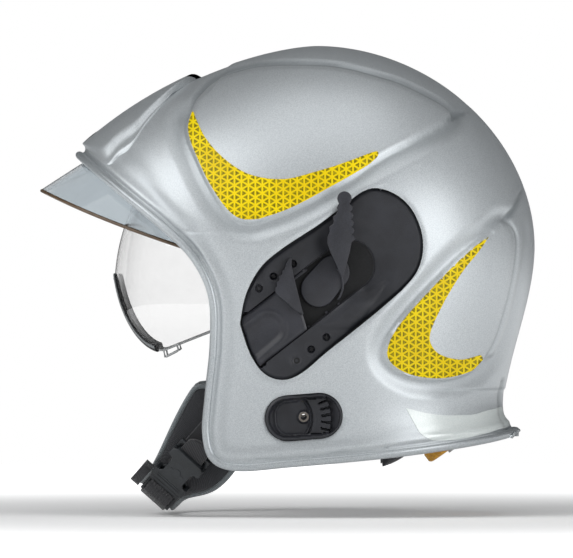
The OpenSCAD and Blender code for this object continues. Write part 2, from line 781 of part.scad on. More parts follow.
// ---- buckle, drawn at its own place: X down the strap, -Y outwards ----
buckle_half = 13;
module at_buckle() {
    strap_frame() translate([buckle_at[0], buckle_at[1], 0]) rotate([0, 0, buckle_turn])
        translate([0, -2.6, 0]) children();
}
module block(x0, x1, y0, y1, z0, z1) {
    translate([x0, y0, z0]) cube([x1 - x0, y1 - y0, z1 - z0]);
}
module buckle_body() {
    color("#2c2e32") at_buckle() difference() {
        union() {
            block(-15, 13, -8.6, 0, -buckle_half, buckle_half);
            block(-20, -15, -4, -1.5, -buckle_half + 1, buckle_half - 1);
        }
        block(-9, 14, -7, -1.6, -9.6, 9.6);
        for (s = [-1, 1]) block(-8, 6, -9, -1.6, s > 0 ? 8.4 : -14, s > 0 ? 14 : -8.4);
        block(-18.5, -15.8, -5, 1, -buckle_half + 3, buckle_half - 3);
    }
}
module buckle_insert() {
    color("#2c2e32") at_buckle() {
        block(-4, 13.4, -5.6, -3.2, -2.2, 2.2);
        block(13.4, 16.6, -7.6, -0.6, -11.5, 11.5);
        for (s = [-1, 1]) block(16.6, 29, -5.6, -2.6, s * 10.5 - 1, s * 10.5 + 1);
        block(26.5, 29, -5.6, -2.6, -9.5, 9.5);
        block(20, 22.5, -5.6, -2.6, -9.5, 9.5);
    }
}
module buckle_prong() {
    block(-6, 13.2, -6, -3, 5.4, 7.6);
    block(-6, -1, -6, -3, 7.6, 9.3);
}
module buckle_prong_upper() {
    color("#3c3e43") at_buckle() mirror([0, 0, 1]) buckle_prong();
}
module buckle_prong_lower() {
    color("#3c3e43") at_buckle() buckle_prong();
}
// Folded ends of the webbing round the insert's bar, held by a loop at each side
module webbing_loops() {
    color("#1b1c1f") at_buckle() {
        difference() {
            block(17.2, 25, -9.6, 2.2, -9, 9);
            block(18.6, 23.8, -7.9, 0.6, -10, 10);
        }
        difference() {
            block(13.8, 30, -7.6, 4, -20, -13.2);
            block(15.6, 28.2, -5.8, 2.2, -21, -11);
        }
    }
}

outer_shell();
rim_trim();
front_plate();
side_housing_left();
side_housing_right();
housing_screws();
accessory_port_left();
accessory_port_right();
port_insert_left();
port_insert_right();
front_reflectors();
rear_reflectors();
rear_strip();
impact_liner();
comfort_cap();
head_ring();
sweatband();
side_pads();
pivot_pins();
strap_anchors();
face_shield();
shield_arm_left();
shield_arm_right();
shield_washers();
shield_lever_left();
shield_lever_right();
eye_lens();
eye_rubber();
eye_arm_left();
eye_arm_right();
eye_lever_left();
eye_lever_right();
nape_cradle();
nape_pad();
ratchet_bracket();
ratchet_knob();
ratchet_pinion();
side_strap_left();
chin_pad();
chin_webbing();
buckle_body();
buckle_insert();
buckle_prong_upper();
buckle_prong_lower();
webbing_loops();
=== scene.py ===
"""Looks of the jet-type firefighter helmet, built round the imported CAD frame.

The helmet's front points along -X, +Z is up and the wearer's left side is at -Y. Shapes are worked out
in millimetres and become metres when a mesh is made.
"""
import math

import bmesh
import bpy
import numpy as np
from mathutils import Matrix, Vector, geometry


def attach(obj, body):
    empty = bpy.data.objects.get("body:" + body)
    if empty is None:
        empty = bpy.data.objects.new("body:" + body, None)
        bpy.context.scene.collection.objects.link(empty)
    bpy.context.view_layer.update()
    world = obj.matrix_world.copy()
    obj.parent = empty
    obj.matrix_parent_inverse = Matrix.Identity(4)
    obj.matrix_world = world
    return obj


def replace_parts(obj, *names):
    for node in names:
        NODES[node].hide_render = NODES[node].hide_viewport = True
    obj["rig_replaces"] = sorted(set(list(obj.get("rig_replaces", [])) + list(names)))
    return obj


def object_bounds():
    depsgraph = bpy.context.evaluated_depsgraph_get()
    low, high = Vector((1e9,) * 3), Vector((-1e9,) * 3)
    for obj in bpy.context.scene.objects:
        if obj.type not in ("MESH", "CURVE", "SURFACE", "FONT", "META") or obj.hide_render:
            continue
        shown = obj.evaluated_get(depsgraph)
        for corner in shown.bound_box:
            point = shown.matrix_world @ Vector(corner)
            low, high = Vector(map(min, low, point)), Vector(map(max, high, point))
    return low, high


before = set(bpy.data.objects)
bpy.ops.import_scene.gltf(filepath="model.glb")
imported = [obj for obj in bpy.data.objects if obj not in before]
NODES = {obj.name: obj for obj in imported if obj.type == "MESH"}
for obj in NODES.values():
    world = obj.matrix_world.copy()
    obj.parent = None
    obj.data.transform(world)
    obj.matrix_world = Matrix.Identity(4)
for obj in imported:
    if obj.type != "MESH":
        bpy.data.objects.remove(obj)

MM = 0.001


def corners(bounds):
    return [[float(c) for c in corner] for corner in bounds]


cad_box = corners(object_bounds())

# ---- mathematics ----


def unit01(t):
    return np.clip(t, 0.0, 1.0)


def smooth(t):
    c = unit01(t)
    return c * c * (3 - 2 * c)


def mix(a, b, t):
    return a + (b - a) * t


def quarter(k, power):
    return np.maximum(0.0, 1 - unit01(k) ** power) ** (1 / power)


def unit(v):
    return v / np.maximum(np.linalg.norm(v, axis=-1, keepdims=True), 1e-9)


def through(a, b, c, d, f):
    """A smooth curve's point at share f between b and c."""
    return 0.5 * (2 * b + (c - a) * f + (2 * a - 5 * b + 4 * c - d) * f**2 + (3 * b - a - 3 * c + d) * f**3)


def spline(points, count, closed=False):
    """Count points along a smooth curve through the given points."""
    p = np.array(points, float)
    n = len(p) if closed else len(p) - 1
    s = np.linspace(0, n, count, endpoint=not closed)
    i = np.minimum(s.astype(int), n - 1)
    f = (s - i)[:, None]
    if closed:
        a, b, c, d = p[(i - 1) % n], p[i], p[(i + 1) % n], p[(i + 2) % n]
    else:
        a, b, c, d = p[np.maximum(i - 1, 0)], p[i], p[i + 1], p[np.minimum(i + 2, n)]
    return through(a, b, c, d, f)


def curve_at(points, t):
    """The smooth curve through the points, at shares t from 0 to 1."""
    p = np.array(points, float)
    n = len(p) - 1
    s = unit01(np.asarray(t, float)) * n
    i = np.minimum(s.astype(int), n - 1)
    f = (s - i)[..., None]
    a, b, c, d = p[np.maximum(i - 1, 0)], p[i], p[i + 1], p[np.minimum(i + 2, n)]
    return through(a, b, c, d, f)


def nearest(places, line, closed=False):
    """For each place, the distance to a polyline and the nearest point on it."""
    line = np.asarray(line, float)
    starts = line if closed else line[:-1]
    ends = np.roll(line, -1, axis=0) if closed else line[1:]
    best = np.full(len(places), 1e9)
    point = np.zeros((len(places), 2))
    for a, b in zip(starts, ends):
        run = b - a
        t = unit01(((places - a) @ run) / max(run @ run, 1e-12))
        q = a + t[:, None] * run
        gap = np.hypot(*(places - q).T)
        closer = gap < best
        best[closer] = gap[closer]
        point[closer] = q[closer]
    return best, point


def inside(places, loop):
    """Whether each place is within a closed loop."""
    x, z = places[:, 0], places[:, 1]
    found = np.zeros(len(places), bool)
    for (x0, z0), (x1, z1) in zip(loop, np.roll(loop, -1, axis=0)):
        crosses = (z0 > z) != (z1 > z)
        height = z1 - z0 if abs(z1 - z0) > 1e-12 else 1e-12
        found ^= crosses & (x < (x1 - x0) * (z - z0) / height + x0)
    return found


def signed(places, loop):
    """Distance to a closed loop: positive inside it."""
    gap = nearest(places, loop, True)[0]
    return np.where(inside(places, loop), gap, -gap)


# ---- the shell's surface ----
CROWN_X, WAIST_Z, HALF_WIDTH = -18.0, 13.0, 123.0
FRONT_REACH, REAR_REACH, DOME = 190.5, 141.2, 130.0
REAR_POWER = 1.93
BRIM_Z, RIM_Z, CROWN_U, BACK_U, NECK_BLEND = 71.0, -108.0, 0.42, 0.78, 0.1


def rise(z):
    return (z - WAIST_Z) / DOME


def front_axis(z):
    return FRONT_REACH * np.where(z > WAIST_Z, quarter(rise(z), 1.6), 1.0)


def rear_low(z):
    return REAR_REACH - 21 * smooth((WAIST_Z - z) / 115) + 9.9 * unit01((-88 - z) / 20) ** 2


def rear_axis(z):
    return np.where(z > WAIST_Z, REAR_REACH * quarter(rise(z), REAR_POWER), rear_low(z))


def side_axis(z):
    below = HALF_WIDTH - 8 * smooth((WAIST_Z - z) / DOME)
    return np.where(z > WAIST_Z, HALF_WIDTH * quarter(rise(z), 2.0), below)


def shell_y(x, z):
    """Half-width of the shell at a place in the side view."""
    ahead = quarter(np.abs(x - CROWN_X) / np.maximum(front_axis(z), 1e-3), 2.0)
    behind = quarter(np.abs(x - CROWN_X) / np.maximum(rear_axis(z), 1e-3), 2.25)
    return side_axis(z) * np.where(x < CROWN_X, ahead, behind)


def top_line(u):
    """The shell's middle line in the side view, from the brim (u = 0) to the nape's edge (u = 1)."""
    u = np.asarray(u, float)
    start = math.asin(rise(BRIM_Z) ** 0.8)
    g = mix(start, math.pi / 2, unit01(u / CROWN_U))
    h = mix(math.pi / 2, 0, unit01((u - CROWN_U) / (BACK_U - CROWN_U)))
    z = mix(WAIST_Z, RIM_Z, unit01((u - BACK_U) / (1 - BACK_U)))
    cos_h, sin_h = np.maximum(np.cos(h), 0), np.maximum(np.sin(h), 0)
    power = 2 / REAR_POWER
    front = [CROWN_X - FRONT_REACH * np.maximum(np.cos(g), 0) ** 1.25, WAIST_Z + DOME * np.sin(g) ** 1.25]
    rear = [CROWN_X + REAR_REACH * cos_h**power, WAIST_Z + DOME * sin_h**power]
    neck = [CROWN_X + rear_low(z), z]
    return np.stack(
        [np.where(u < CROWN_U, front[k], np.where(u < BACK_U, rear[k], neck[k])) for k in (0, 1)], -1
    )


EDGE_POINTS = [
    top_line(0), (-146, 47.5), (-117.8, 24.3), (-98.2, 4.6), (-86.9, -19.4), (-85.8, -50), (-88.8, -80),
    (-90.7, -107), (-85.6, -123.6), (-69.2, -129.3), (-35, -126.7), (0, -123.7), (35, -120.2),
    (69.6, -115.7), (94.5, -111.7), top_line(1),
]


def edge_line(u):
    """The shell's free edge in the side view."""
    return curve_at(EDGE_POINTS, u)


def side_view_grid(u, v):
    """Side-view places of the shell for u from brim to nape and v from the left edge to the right."""
    w = np.sin(math.pi / 2 * (1 - np.abs(2 * v - 1)))[None, :]
    e, t = edge_line(u), top_line(u)
    x = mix(e[:, :1], t[:, :1], w)
    z = mix(e[:, 1:], t[:, 1:], w)
    k = mix((e[:, :1] - CROWN_X) / rear_axis(e[:, 1:]), 1, w)
    s = smooth((u - BACK_U) / NECK_BLEND)[:, None]
    return mix(x, CROWN_X + k * rear_axis(z), s), z


# ---- outlines in the side view ----
LOBE = spline(
    [(-99, 99), (-101.6, 90.5), (-100.4, 81), (-95.4, 69), (-89, 55), (-80.5, 41), (-73, 32.5), (-66, 29),
     (-57, 29.2), (-39, 35.4), (-25, 42), (-11.5, 49.5), (2, 57.3), (20.4, 70), (48.8, 85.2), (62, 92.3),
     (67.5, 96.5), (66, 100.5), (54.6, 107.6), (36, 116.7), (21, 121.5), (0, 127), (-20.5, 129.3),
     (-51.5, 129), (-67, 126.2), (-84, 120.3), (-94, 110)],
    260, True,
)
REAR_LOBE = spline(
    [(101, 26.5), (91.7, 18.7), (82.6, 12), (70, 1), (57.7, -11.6), (45.2, -24.8), (35.3, -36.4),
     (28.6, -46.5), (26, -55), (27.6, -61), (33, -66), (41, -69.8), (51, -71.8), (62, -72.1),
     (72.6, -70.4), (82, -66), (92.5, -53), (99.2, -36.4), (105.8, -11.7), (109, 9), (108, 22)],
    240, True,
)
REAR_LINE = spline([(111, 30), (109.9, 9), (105.8, -11.7), (99.2, -36.4), (92.5, -53)], 60)
NECK_GROOVE = spline([(102, -75), (100.6, -90), (103, -101), (109.5, -110.5)], 40)
BRIM_VALLEY = spline([(-141, 72), (-134, 63), (-126.8, 52.7), (-117, 36.4), (-104, 20), (-97, 6)], 50)
FINE_LINE = spline([(46, 35), (57, 20), (68, 5)], 30)
TOP_NOTCH = np.array([(80, 99.6), (68.3, 100.6), (69.2, 97.2), (64, 93.2)])
REAR_NOTCH = np.array([(115.6, 51.5), (109.3, 41.5), (102.6, 29), (107.8, 31.5), (112, 40)])
EDGE = edge_line(np.linspace(0, 1, 240))

PIVOT = np.array([-17.5, -15.0])
HOUSING_POINTS = [
    (-67.5, -37), (-63.5, -18), (-54, -1), (-40, 11), (-18, 25.5), (-1, 38.5), (10, 47), (20, 49.3),
    (33, 44.5), (43, 34), (48.7, 18), (47.5, 2), (40, -11), (24, -25.5), (5, -41), (-12, -54.5),
    (-28, -68), (-40, -72.5), (-52, -68.5), (-61, -56), (-67.5, -37),
]
HOUSING_CENTRE = np.array([-10.0, -12.0])
CHANNEL_TURN, CHANNEL_HALF, CHANNEL_END = math.radians(38), 16.2, 25.0
ALONG = np.array([math.cos(CHANNEL_TURN), math.sin(CHANNEL_TURN)])
PORT_CENTRE, PORT_TURN = np.array([-27.0, -96.5]), math.radians(4.5)
PORT_R, PORT_REACH = 14.25, 10.25


def housing_outline(grow=0.0, count=160):
    p = curve_at(HOUSING_POINTS, np.arange(count) / count)
    return p + unit(p - HOUSING_CENTRE) * grow


def arc(centre, r, start, end, count):
    a = np.radians(np.linspace(start, end, count))
    return np.stack([centre[0] + r * np.cos(a), centre[1] + r * np.sin(a)], -1)


def turned(points, angle, centre=(0, 0)):
    c, s = math.cos(angle), math.sin(angle)
    p = np.asarray(points, float)
    return np.stack([c * p[:, 0] - s * p[:, 1], s * p[:, 0] + c * p[:, 1]], -1) + np.asarray(centre)


def stadium(reach, r, count=22):
    return np.concatenate([arc((reach, 0), r, -90, 90, count), arc((-reach, 0), r, 90, 270, count)])


def port_outline(grow=0.0):
    return turned(stadium(PORT_REACH, PORT_R + grow), PORT_TURN, PORT_CENTRE)


CHANNEL_SPINE = np.array([PIVOT - 90 * ALONG, PIVOT + CHANNEL_END * ALONG])


def channel_outline():
    r = CHANNEL_HALF
    p = np.concatenate([[(-70, -r)], arc((CHANNEL_END, 0), r, -90, 90, 40), [(-70, r)]])
    return turned(p, CHANNEL_TURN, PIVOT)


# ---- relief of the shell ----


def valley(t, wall, floor, fade):
    """Depth share of a valley: it drops over wall, keeps to floor and fades out over fade."""
    return smooth(t / wall) * (1 - smooth((t - floor) / fade))


def bump(t, width):
    return np.exp(-((t / width) ** 2))


def relief(x, z):
    """Height of the shell's modelled surface over the plain one, and how shaded it is, in the side view."""
    shape = np.shape(x)
    p = np.stack([np.ravel(x), np.ravel(z)], -1)
    px, pz = p.T
    s = signed(p, LOBE)
    crest = smooth((pz - 96) / 16)
    side = 2.5 * valley(-s, 2.6, 5.5, 9.5)
    narrow = 1.25 * valley(-s, 1.4, 2.2, 2.6)
    height = -mix(side, narrow, crest) - 0.5 * (s > 0) * (1 - smooth(s / 3.0)) - 0.5 * (s <= 0) * (s > -2)
    shade = mix(0.55 * valley(-s, 2.6, 5.5, 8.5), 0.8 * valley(-s, 1.2, 2.4, 2.2), crest)

    q = (px + 77.5) * 0.8 - (pz - 127.3) * 0.6
    height -= 1.0 * (1 - smooth(q / 3 + 0.5)) * smooth((pz - 106) / 10) * (1 - smooth((-q - 8) / 25))

    s = signed(p, REAR_LOBE)
    rear_gap = nearest(p, REAR_LINE)[0]
    seam = 1 - smooth((rear_gap - 3) / 5)
    height -= mix(2.4 * valley(-s, 2.6, 5.0, 9.0), 0.9 * valley(-s, 1.0, 1.4, 1.6), seam)
    height -= 0.5 * (s > 0) * (1 - smooth(s / 3.0))
    shade += mix(0.3 * valley(-s, 2.6, 4.0, 7.0), 0.5 * valley(-s, 0.8, 1.2, 1.4), seam)

    gap = nearest(p, NECK_GROOVE)[0]
    height -= 1.5 * bump(gap, 1.7)
    shade += 1.0 * bump(gap, 1.5)
    height -= 1.3 * bump(nearest(p, BRIM_VALLEY)[0], 6.5)
    shade += 0.25 * bump(nearest(p, BRIM_VALLEY)[0], 5.5)
    height -= 0.22 * bump(nearest(p, FINE_LINE)[0], 0.6)
    window = smooth((px + 110) / 5) * smooth((-50 - px) / 8)
    height -= 0.3 * bump(pz - 21.8, 0.8) * window

    step = smooth((px - 52) / 16) * (1 - smooth((-80 - pz) / 13))
    height -= 0.8 * step * smooth((-79.0 - pz) / 0.9)
    shade += 0.35 * step * bump(pz + 79.6, 0.9)

    for notch, deep in ((TOP_NOTCH, 1.1), (REAR_NOTCH, 1.0)):
        inner = smooth(signed(p, notch) / 2.2 + 0.5)
        height -= deep * inner
        shade += 1.1 * inner

    gap = nearest(p, EDGE)[0]
    height += -0.9 * bump(gap - 5.2, 1.2) + 0.35 * bump(gap - 8.2, 1.8) - 0.45 * bump(gap - 13.5, 3.5)
    shade += 0.5 * bump(gap - 5.0, 1.3) + 0.22 * bump(gap - 12.5, 3.0)

    for outline in (housing_outline(), port_outline()):
        gap = -signed(p, outline)
        height -= 0.8 * (1 - smooth(gap / 2.2))
    return height.reshape(shape), unit01(shade).reshape(shape)


def skin(x, z, lift=0.0):
    """Points of the left side's modelled surface over side-view places, lifted along the normal."""
    d = 0.4
    slope_x = (shell_y(x + d, z) - shell_y(x - d, z)) / (2 * d)
    slope_z = (shell_y(x, z + d) - shell_y(x, z - d)) / (2 * d)
    y = shell_y(x, z)
    n = unit(np.stack([-slope_x, np.ones_like(y), -slope_z], -1))
    up = relief(x, z)[0] + lift
    p = np.stack([x, y, z], -1) + n * np.expand_dims(np.broadcast_to(up, y.shape), -1)
    return p * [1, -1, 1]


# ---- meshes ----


def grid_faces(rows, cols, closed_rows=False, closed_cols=False, base=0, flip=False):
    faces = []
    for i in range(rows if closed_rows else rows - 1):
        for j in range(cols if closed_cols else cols - 1):
            a, b = base + i * cols + j, base + i * cols + (j + 1) % cols
            c, d = base + ((i + 1) % rows) * cols + (j + 1) % cols, base + ((i + 1) % rows) * cols + j
            faces.append((d, c, b, a) if flip else (a, b, c, d))
    return faces


def outward(mesh):
    """Turns a closed mesh's faces outwards."""
    bm = bmesh.new()
    bm.from_mesh(mesh)
    bmesh.ops.recalc_face_normals(bm, faces=bm.faces)
    bm.to_mesh(mesh)
    bm.free()


def make(name, points, faces, material, body, replaces=(), smooth_angle=35):
    """A piece from points in millimetres, riding on a body."""
    mesh = bpy.data.meshes.new(name)
    mesh.from_pydata([tuple(p) for p in np.asarray(points, float) * MM], [], faces)
    mesh.validate()
    outward(mesh)
    mesh.materials.append(material)
    piece = bpy.data.objects.new(name, mesh)
    bpy.context.scene.collection.objects.link(piece)
    mesh.shade_smooth()
    if smooth_angle < 180:
        mesh.set_sharp_from_angle(angle=math.radians(smooth_angle))
    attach(piece, body)
    if replaces:
        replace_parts(piece, *replaces)
    return piece


def apply_modifiers(piece):
    bpy.context.view_layer.update()
    graph = bpy.context.evaluated_depsgraph_get()
    done = bpy.data.meshes.new_from_object(piece.evaluated_get(graph))
    piece.modifiers.clear()
    piece.data = done
    return piece


def bevel(piece, width, segments=3, angle=40):
    m = piece.modifiers.new("edges", "BEVEL")
    m.width = width * MM
    m.segments = segments
    m.limit_method = "ANGLE"
    m.angle_limit = math.radians(angle)
    m.harden_normals = False
    return apply_modifiers(piece)


def mirrored(points, side):
    return np.asarray(points, float) * [1, side, 1]


def swept(rings, closed):
    """Points and faces of a solid swept along rings with equal numbers of points."""
    rings = np.asarray(rings)
    m, n = rings.shape[:2]
    faces = grid_faces(m, n, closed, True)
    if not closed:
        faces += [tuple(range(n - 1, -1, -1)), tuple(range((m - 1) * n, m * n))]
    return rings.reshape(-1, 3), faces


def two_skins(front, back):
    """A closed solid between two grids of the same size."""
    m, n = front.shape[:2]
    k = m * n
    rim = list(range(n)) + [i * n + n - 1 for i in range(1, m)]
    rim += [(m - 1) * n + j for j in range(n - 2, -1, -1)] + [i * n for i in range(m - 2, 0, -1)]
    faces = grid_faces(m, n) + grid_faces(m, n, base=k, flip=True)
    faces += [(a, a + k, b + k, b) for a, b in zip(rim, rim[1:] + rim[:1])]
    return np.concatenate([front.reshape(-1, 3), back.reshape(-1, 3)]), faces


def join(name, pieces):
    """Joins pieces of one body and material into one object."""
    target = pieces[0]
    bm = bmesh.new()
    for p in pieces:
        bm.from_mesh(p.data)
    bm.to_mesh(target.data)
    bm.free()
    replaced = sorted({n for p in pieces for n in p.get("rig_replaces", [])})
    for p in pieces[1:]:
        bpy.data.objects.remove(p)
    if replaced:
        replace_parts(target, *replaced)
    target.name = name
    return target


# ---- materials ----


def shaded(colour, k):
    return tuple(c * k for c in colour)


def map_range(tree, value, low, high, to_low, to_high):
    n = tree.nodes.new("ShaderNodeMapRange")
    n.interpolation_type = "SMOOTHSTEP"
    for key, v in (("From Min", low), ("From Max", high), ("To Min", to_low), ("To Max", to_high)):
        n.inputs[key].default_value = v
    tree.links.new(value, n.inputs["Value"])
    return n.outputs[0]


class Look:
    """A procedural material with a few helpers for its nodes."""

    def __init__(self, name, colour, roughness, metallic=0.0, **sockets):
        self.material = bpy.data.materials.new(name)
        self.material.use_nodes = True
        self.tree = self.material.node_tree
        self.shader = self.tree.nodes["Principled BSDF"]
        self.colour = (*colour, 1.0)
        self.shader.inputs["Base Color"].default_value = self.colour
        self.shader.inputs["Roughness"].default_value = roughness
        self.shader.inputs["Metallic"].default_value = metallic
        for key, value in sockets.items():
            self.shader.inputs[key.replace("_", " ")].default_value = value
        self.roughness = roughness
        self.heights = []

    def node(self, kind, **values):
        n = self.tree.nodes.new(kind)
        for key, value in values.items():
            if key in n.inputs:
                n.inputs[key].default_value = value
            else:
                setattr(n, key, value)
        return n

    def link(self, a, b):
        self.tree.links.new(a, b)

    def place(self):
        return self.node("ShaderNodeTexCoord").outputs["Object"]

    def noise(self, size_mm, detail=2.0, stretch=(1, 1, 1)):
        """Noise with features of about this size."""
        scale = self.node("ShaderNodeMapping")
        scale.inputs["Scale"].default_value = [s / (size_mm * MM) for s in stretch]
        self.link(self.place(), scale.inputs["Vector"])
        n = self.node("ShaderNodeTexNoise", Scale=1.0, Detail=detail)
        self.link(scale.outputs[0], n.inputs["Vector"])
        return n.outputs[0]

    def maths(self, kind, a, b=0.5, c=0.5):
        n = self.node("ShaderNodeMath")
        n.operation = kind
        for k, value in enumerate((a, b, c)):
            if isinstance(value, (int, float)):
                n.inputs[k].default_value = value
            else:
                self.link(value, n.inputs[k])
        return n.outputs[0]

    def ramp(self, value, low, high, to_low=0.0, to_high=1.0):
        return map_range(self.tree, value, low, high, to_low, to_high)

    def blend(self, factor, a, b):
        n = self.node("ShaderNodeMix")
        n.data_type = "RGBA"
        self.link(factor, n.inputs[0])
        for socket, value in ((n.inputs[6], a), (n.inputs[7], b)):
            if isinstance(value, tuple):
                socket.default_value = (*value, 1.0)
            else:
                self.link(value, socket)
        return n.outputs[2]

    def paint(self, colour):
        self.link(colour, self.shader.inputs["Base Color"])
        return self

    def vary_roughness(self, value, spread):
        n = self.ramp(value, 0.3, 0.7, max(self.roughness - spread, 0.02), self.roughness + spread)
        self.link(n, self.shader.inputs["Roughness"])
        return self

    def relief(self, height, depth_mm, strength=1.0):
        n = self.node("ShaderNodeBump", Strength=strength, Distance=depth_mm * MM)
        self.link(height, n.inputs["Height"])
        if self.heights:
            self.link(self.heights[-1], n.inputs["Normal"])
        self.heights.append(n.outputs[0])
        self.link(n.outputs[0], self.shader.inputs["Normal"])
        return self

    def attribute(self, name):
        n = self.node("ShaderNodeAttribute")
        n.attribute_name = name
        return n.outputs["Fac"]


def silver_paint():
    look = Look("silver_paint", (0.50, 0.53, 0.55), 0.44, 0.6, Coat_Weight=0.08, Coat_Roughness=0.3)
    flake = look.noise(0.55, 1.0)
    cloud = look.noise(26, 3.0)
    tone = look.blend(look.ramp(flake, 0.35, 0.65), (0.44, 0.47, 0.49), (0.57, 0.60, 0.615))
    tone = look.blend(look.ramp(cloud, 0.35, 0.65, 0.0, 0.12), tone, (0.47, 0.50, 0.53))
    tone = look.blend(look.maths("MULTIPLY", look.attribute("shade"), 0.62), tone, (0.20, 0.225, 0.24))
    look.paint(tone).vary_roughness(flake, 0.06)
    return look.relief(flake, 0.02, 0.5).relief(look.noise(2.2, 2.0), 0.02, 0.3).material


def trim_paint():
    look = Look("trim_paint", (0.42, 0.45, 0.47), 0.38, 0.6, Coat_Weight=0.1, Coat_Roughness=0.3)
    flake = look.noise(0.55, 1.0)
    look.paint(look.blend(look.ramp(flake, 0.35, 0.65), (0.37, 0.40, 0.42), (0.50, 0.53, 0.545)))
    return look.vary_roughness(flake, 0.05).relief(flake, 0.02, 0.4).material


def moulded(name, colour, roughness, grain_mm=0.5, depth=0.05, wear=0.25):
    """Moulded plastic with a fine spark-eroded grain."""
    look = Look(name, colour, roughness)
    grain = look.noise(grain_mm, 2.0)
    cloud = look.noise(14, 3.0)
    light = tuple(c * (1 + wear) + 0.002 for c in colour)
    dark = shaded(colour, 1 - wear)
    look.paint(look.blend(look.ramp(look.maths("ADD", grain, cloud), 0.75, 1.25), dark, light))
    return look.vary_roughness(grain, 0.07).relief(grain, depth, 0.6).material


def reflective_film():
    """Yellow film with a lattice of triangular cells, 4.45 mm apart."""
    look = Look("reflective_film", (0.90, 0.70, 0.0), 0.45, 0.0, Specular_IOR_Level=0.2)
    split = look.node("ShaderNodeSeparateXYZ")
    look.link(look.place(), split.inputs[0])
    x, z = split.outputs[0], split.outputs[2]
    pitch = 4.45 * MM
    lines = []
    for angle in (0, 60, 120):
        c, s = math.cos(math.radians(angle)) / pitch, math.sin(math.radians(angle)) / pitch
        along = look.maths("ADD", look.maths("MULTIPLY", x, c), look.maths("MULTIPLY", z, s))
        wave = look.maths("ABSOLUTE", look.maths("SUBTRACT", look.maths("FRACT", along), 0.5))
        lines.append(look.ramp(wave, 0.34, 0.40))
    web = look.maths("MAXIMUM", look.maths("MAXIMUM", lines[0], lines[1]), lines[2])
    facet = look.noise(1.1, 1.0)
    cell = look.blend(look.ramp(facet, 0.35, 0.65), (0.16, 0.13, 0.0), (0.36, 0.28, 0.0))
    bright = look.blend(look.ramp(look.noise(20, 1.0), 0.3, 0.7), (0.76, 0.55, 0.0), (0.84, 0.64, 0.0))
    look.paint(look.blend(web, cell, bright))
    return look.vary_roughness(facet, 0.08).relief(web, 0.08, 0.7).material


def pale_film():
    look = Look("pale_film", (0.66, 0.70, 0.69), 0.30, 0.15, Coat_Weight=0.5, Coat_Roughness=0.15)
    grain = look.noise(0.8, 1.0)
    look.paint(look.blend(look.ramp(grain, 0.3, 0.7), (0.63, 0.68, 0.67), (0.70, 0.74, 0.73)))
    return look.relief(grain, 0.01, 0.4).material


def clear_plastic(name, colour, ior, roughness=0.02, **sockets):
    look = Look(name, colour, roughness, 0.0, Transmission_Weight=1.0, IOR=ior, **sockets)
    haze = look.noise(9, 3.0)
    look.paint(look.blend(look.ramp(haze, 0.3, 0.7), shaded(colour, 0.985), colour))
    return look.vary_roughness(haze, 0.01).relief(look.noise(30, 1.0), 0.004, 0.15).material


def woven(name, colour, pitch_mm=0.9, rough=0.8):
    """Tight black webbing or textile with crossing threads."""
    look = Look(name, colour, rough, 0.0, Sheen_Weight=0.35, Sheen_Roughness=0.5)
    wave = []
    for axis in (0, 1):
        split = look.node("ShaderNodeSeparateXYZ")
        turn = look.node("ShaderNodeMapping")
        turn.inputs["Rotation"].default_value = (0.0, math.radians(41.4), 0.0)
        look.link(look.place(), turn.inputs["Vector"])
        look.link(turn.outputs[0], split.inputs[0])
        source = look.maths("ADD", split.outputs[0], split.outputs[1]) if axis == 0 else split.outputs[2]
        phase = look.maths("MULTIPLY", source, 2 * math.pi / (pitch_mm * MM))
        wave.append(look.maths("ABSOLUTE", look.maths("SINE", phase)))
    weave = look.maths("MULTIPLY", wave[0], wave[1])
    fuzz = look.noise(0.4, 2.0)
    tone = look.maths("ADD", weave, look.maths("MULTIPLY", fuzz, 0.5))
    look.paint(look.blend(look.ramp(tone, 0.2, 1.1), shaded(colour, 0.45), shaded(colour, 1.9)))
    return look.relief(weave, 0.25, 0.8).relief(fuzz, 0.05, 0.5).material


def leather(name, colour):
    look = Look(name, colour, 0.55, 0.0, Coat_Weight=0.1, Coat_Roughness=0.4)
    cells = look.node("ShaderNodeTexVoronoi", Scale=1 / (1.6 * MM))
    look.link(look.place(), cells.inputs["Vector"])
    cloud = look.noise(12, 3.0)
    look.paint(look.blend(look.ramp(cloud, 0.3, 0.7), shaded(colour, 0.7), shaded(colour, 1.3)))
    return look.vary_roughness(cloud, 0.08).relief(cells.outputs["Distance"], 0.15, 0.6).material


def foam(name, colour):
    look = Look(name, colour, 0.9)
    cells = look.node("ShaderNodeTexVoronoi", Scale=1 / (2.6 * MM))
    look.link(look.place(), cells.inputs["Vector"])
    look.paint(look.blend(look.ramp(cells.outputs["Distance"], 0.1, 0.6), shaded(colour, 1.3), colour))
    return look.relief(cells.outputs["Distance"], 0.2, 0.5).relief(look.noise(0.6, 2.0), 0.08, 0.5).material


def metal(name, colour, roughness, turned_mm=0.6):
    look = Look(name, colour, roughness, 1.0)
    lines = look.noise(turned_mm, 2.0, (1, 6, 1))
    look.paint(look.blend(look.ramp(lines, 0.3, 0.7), shaded(colour, 0.85), colour))
    return look.vary_roughness(lines, 0.06).relief(lines, 0.02, 0.5).material


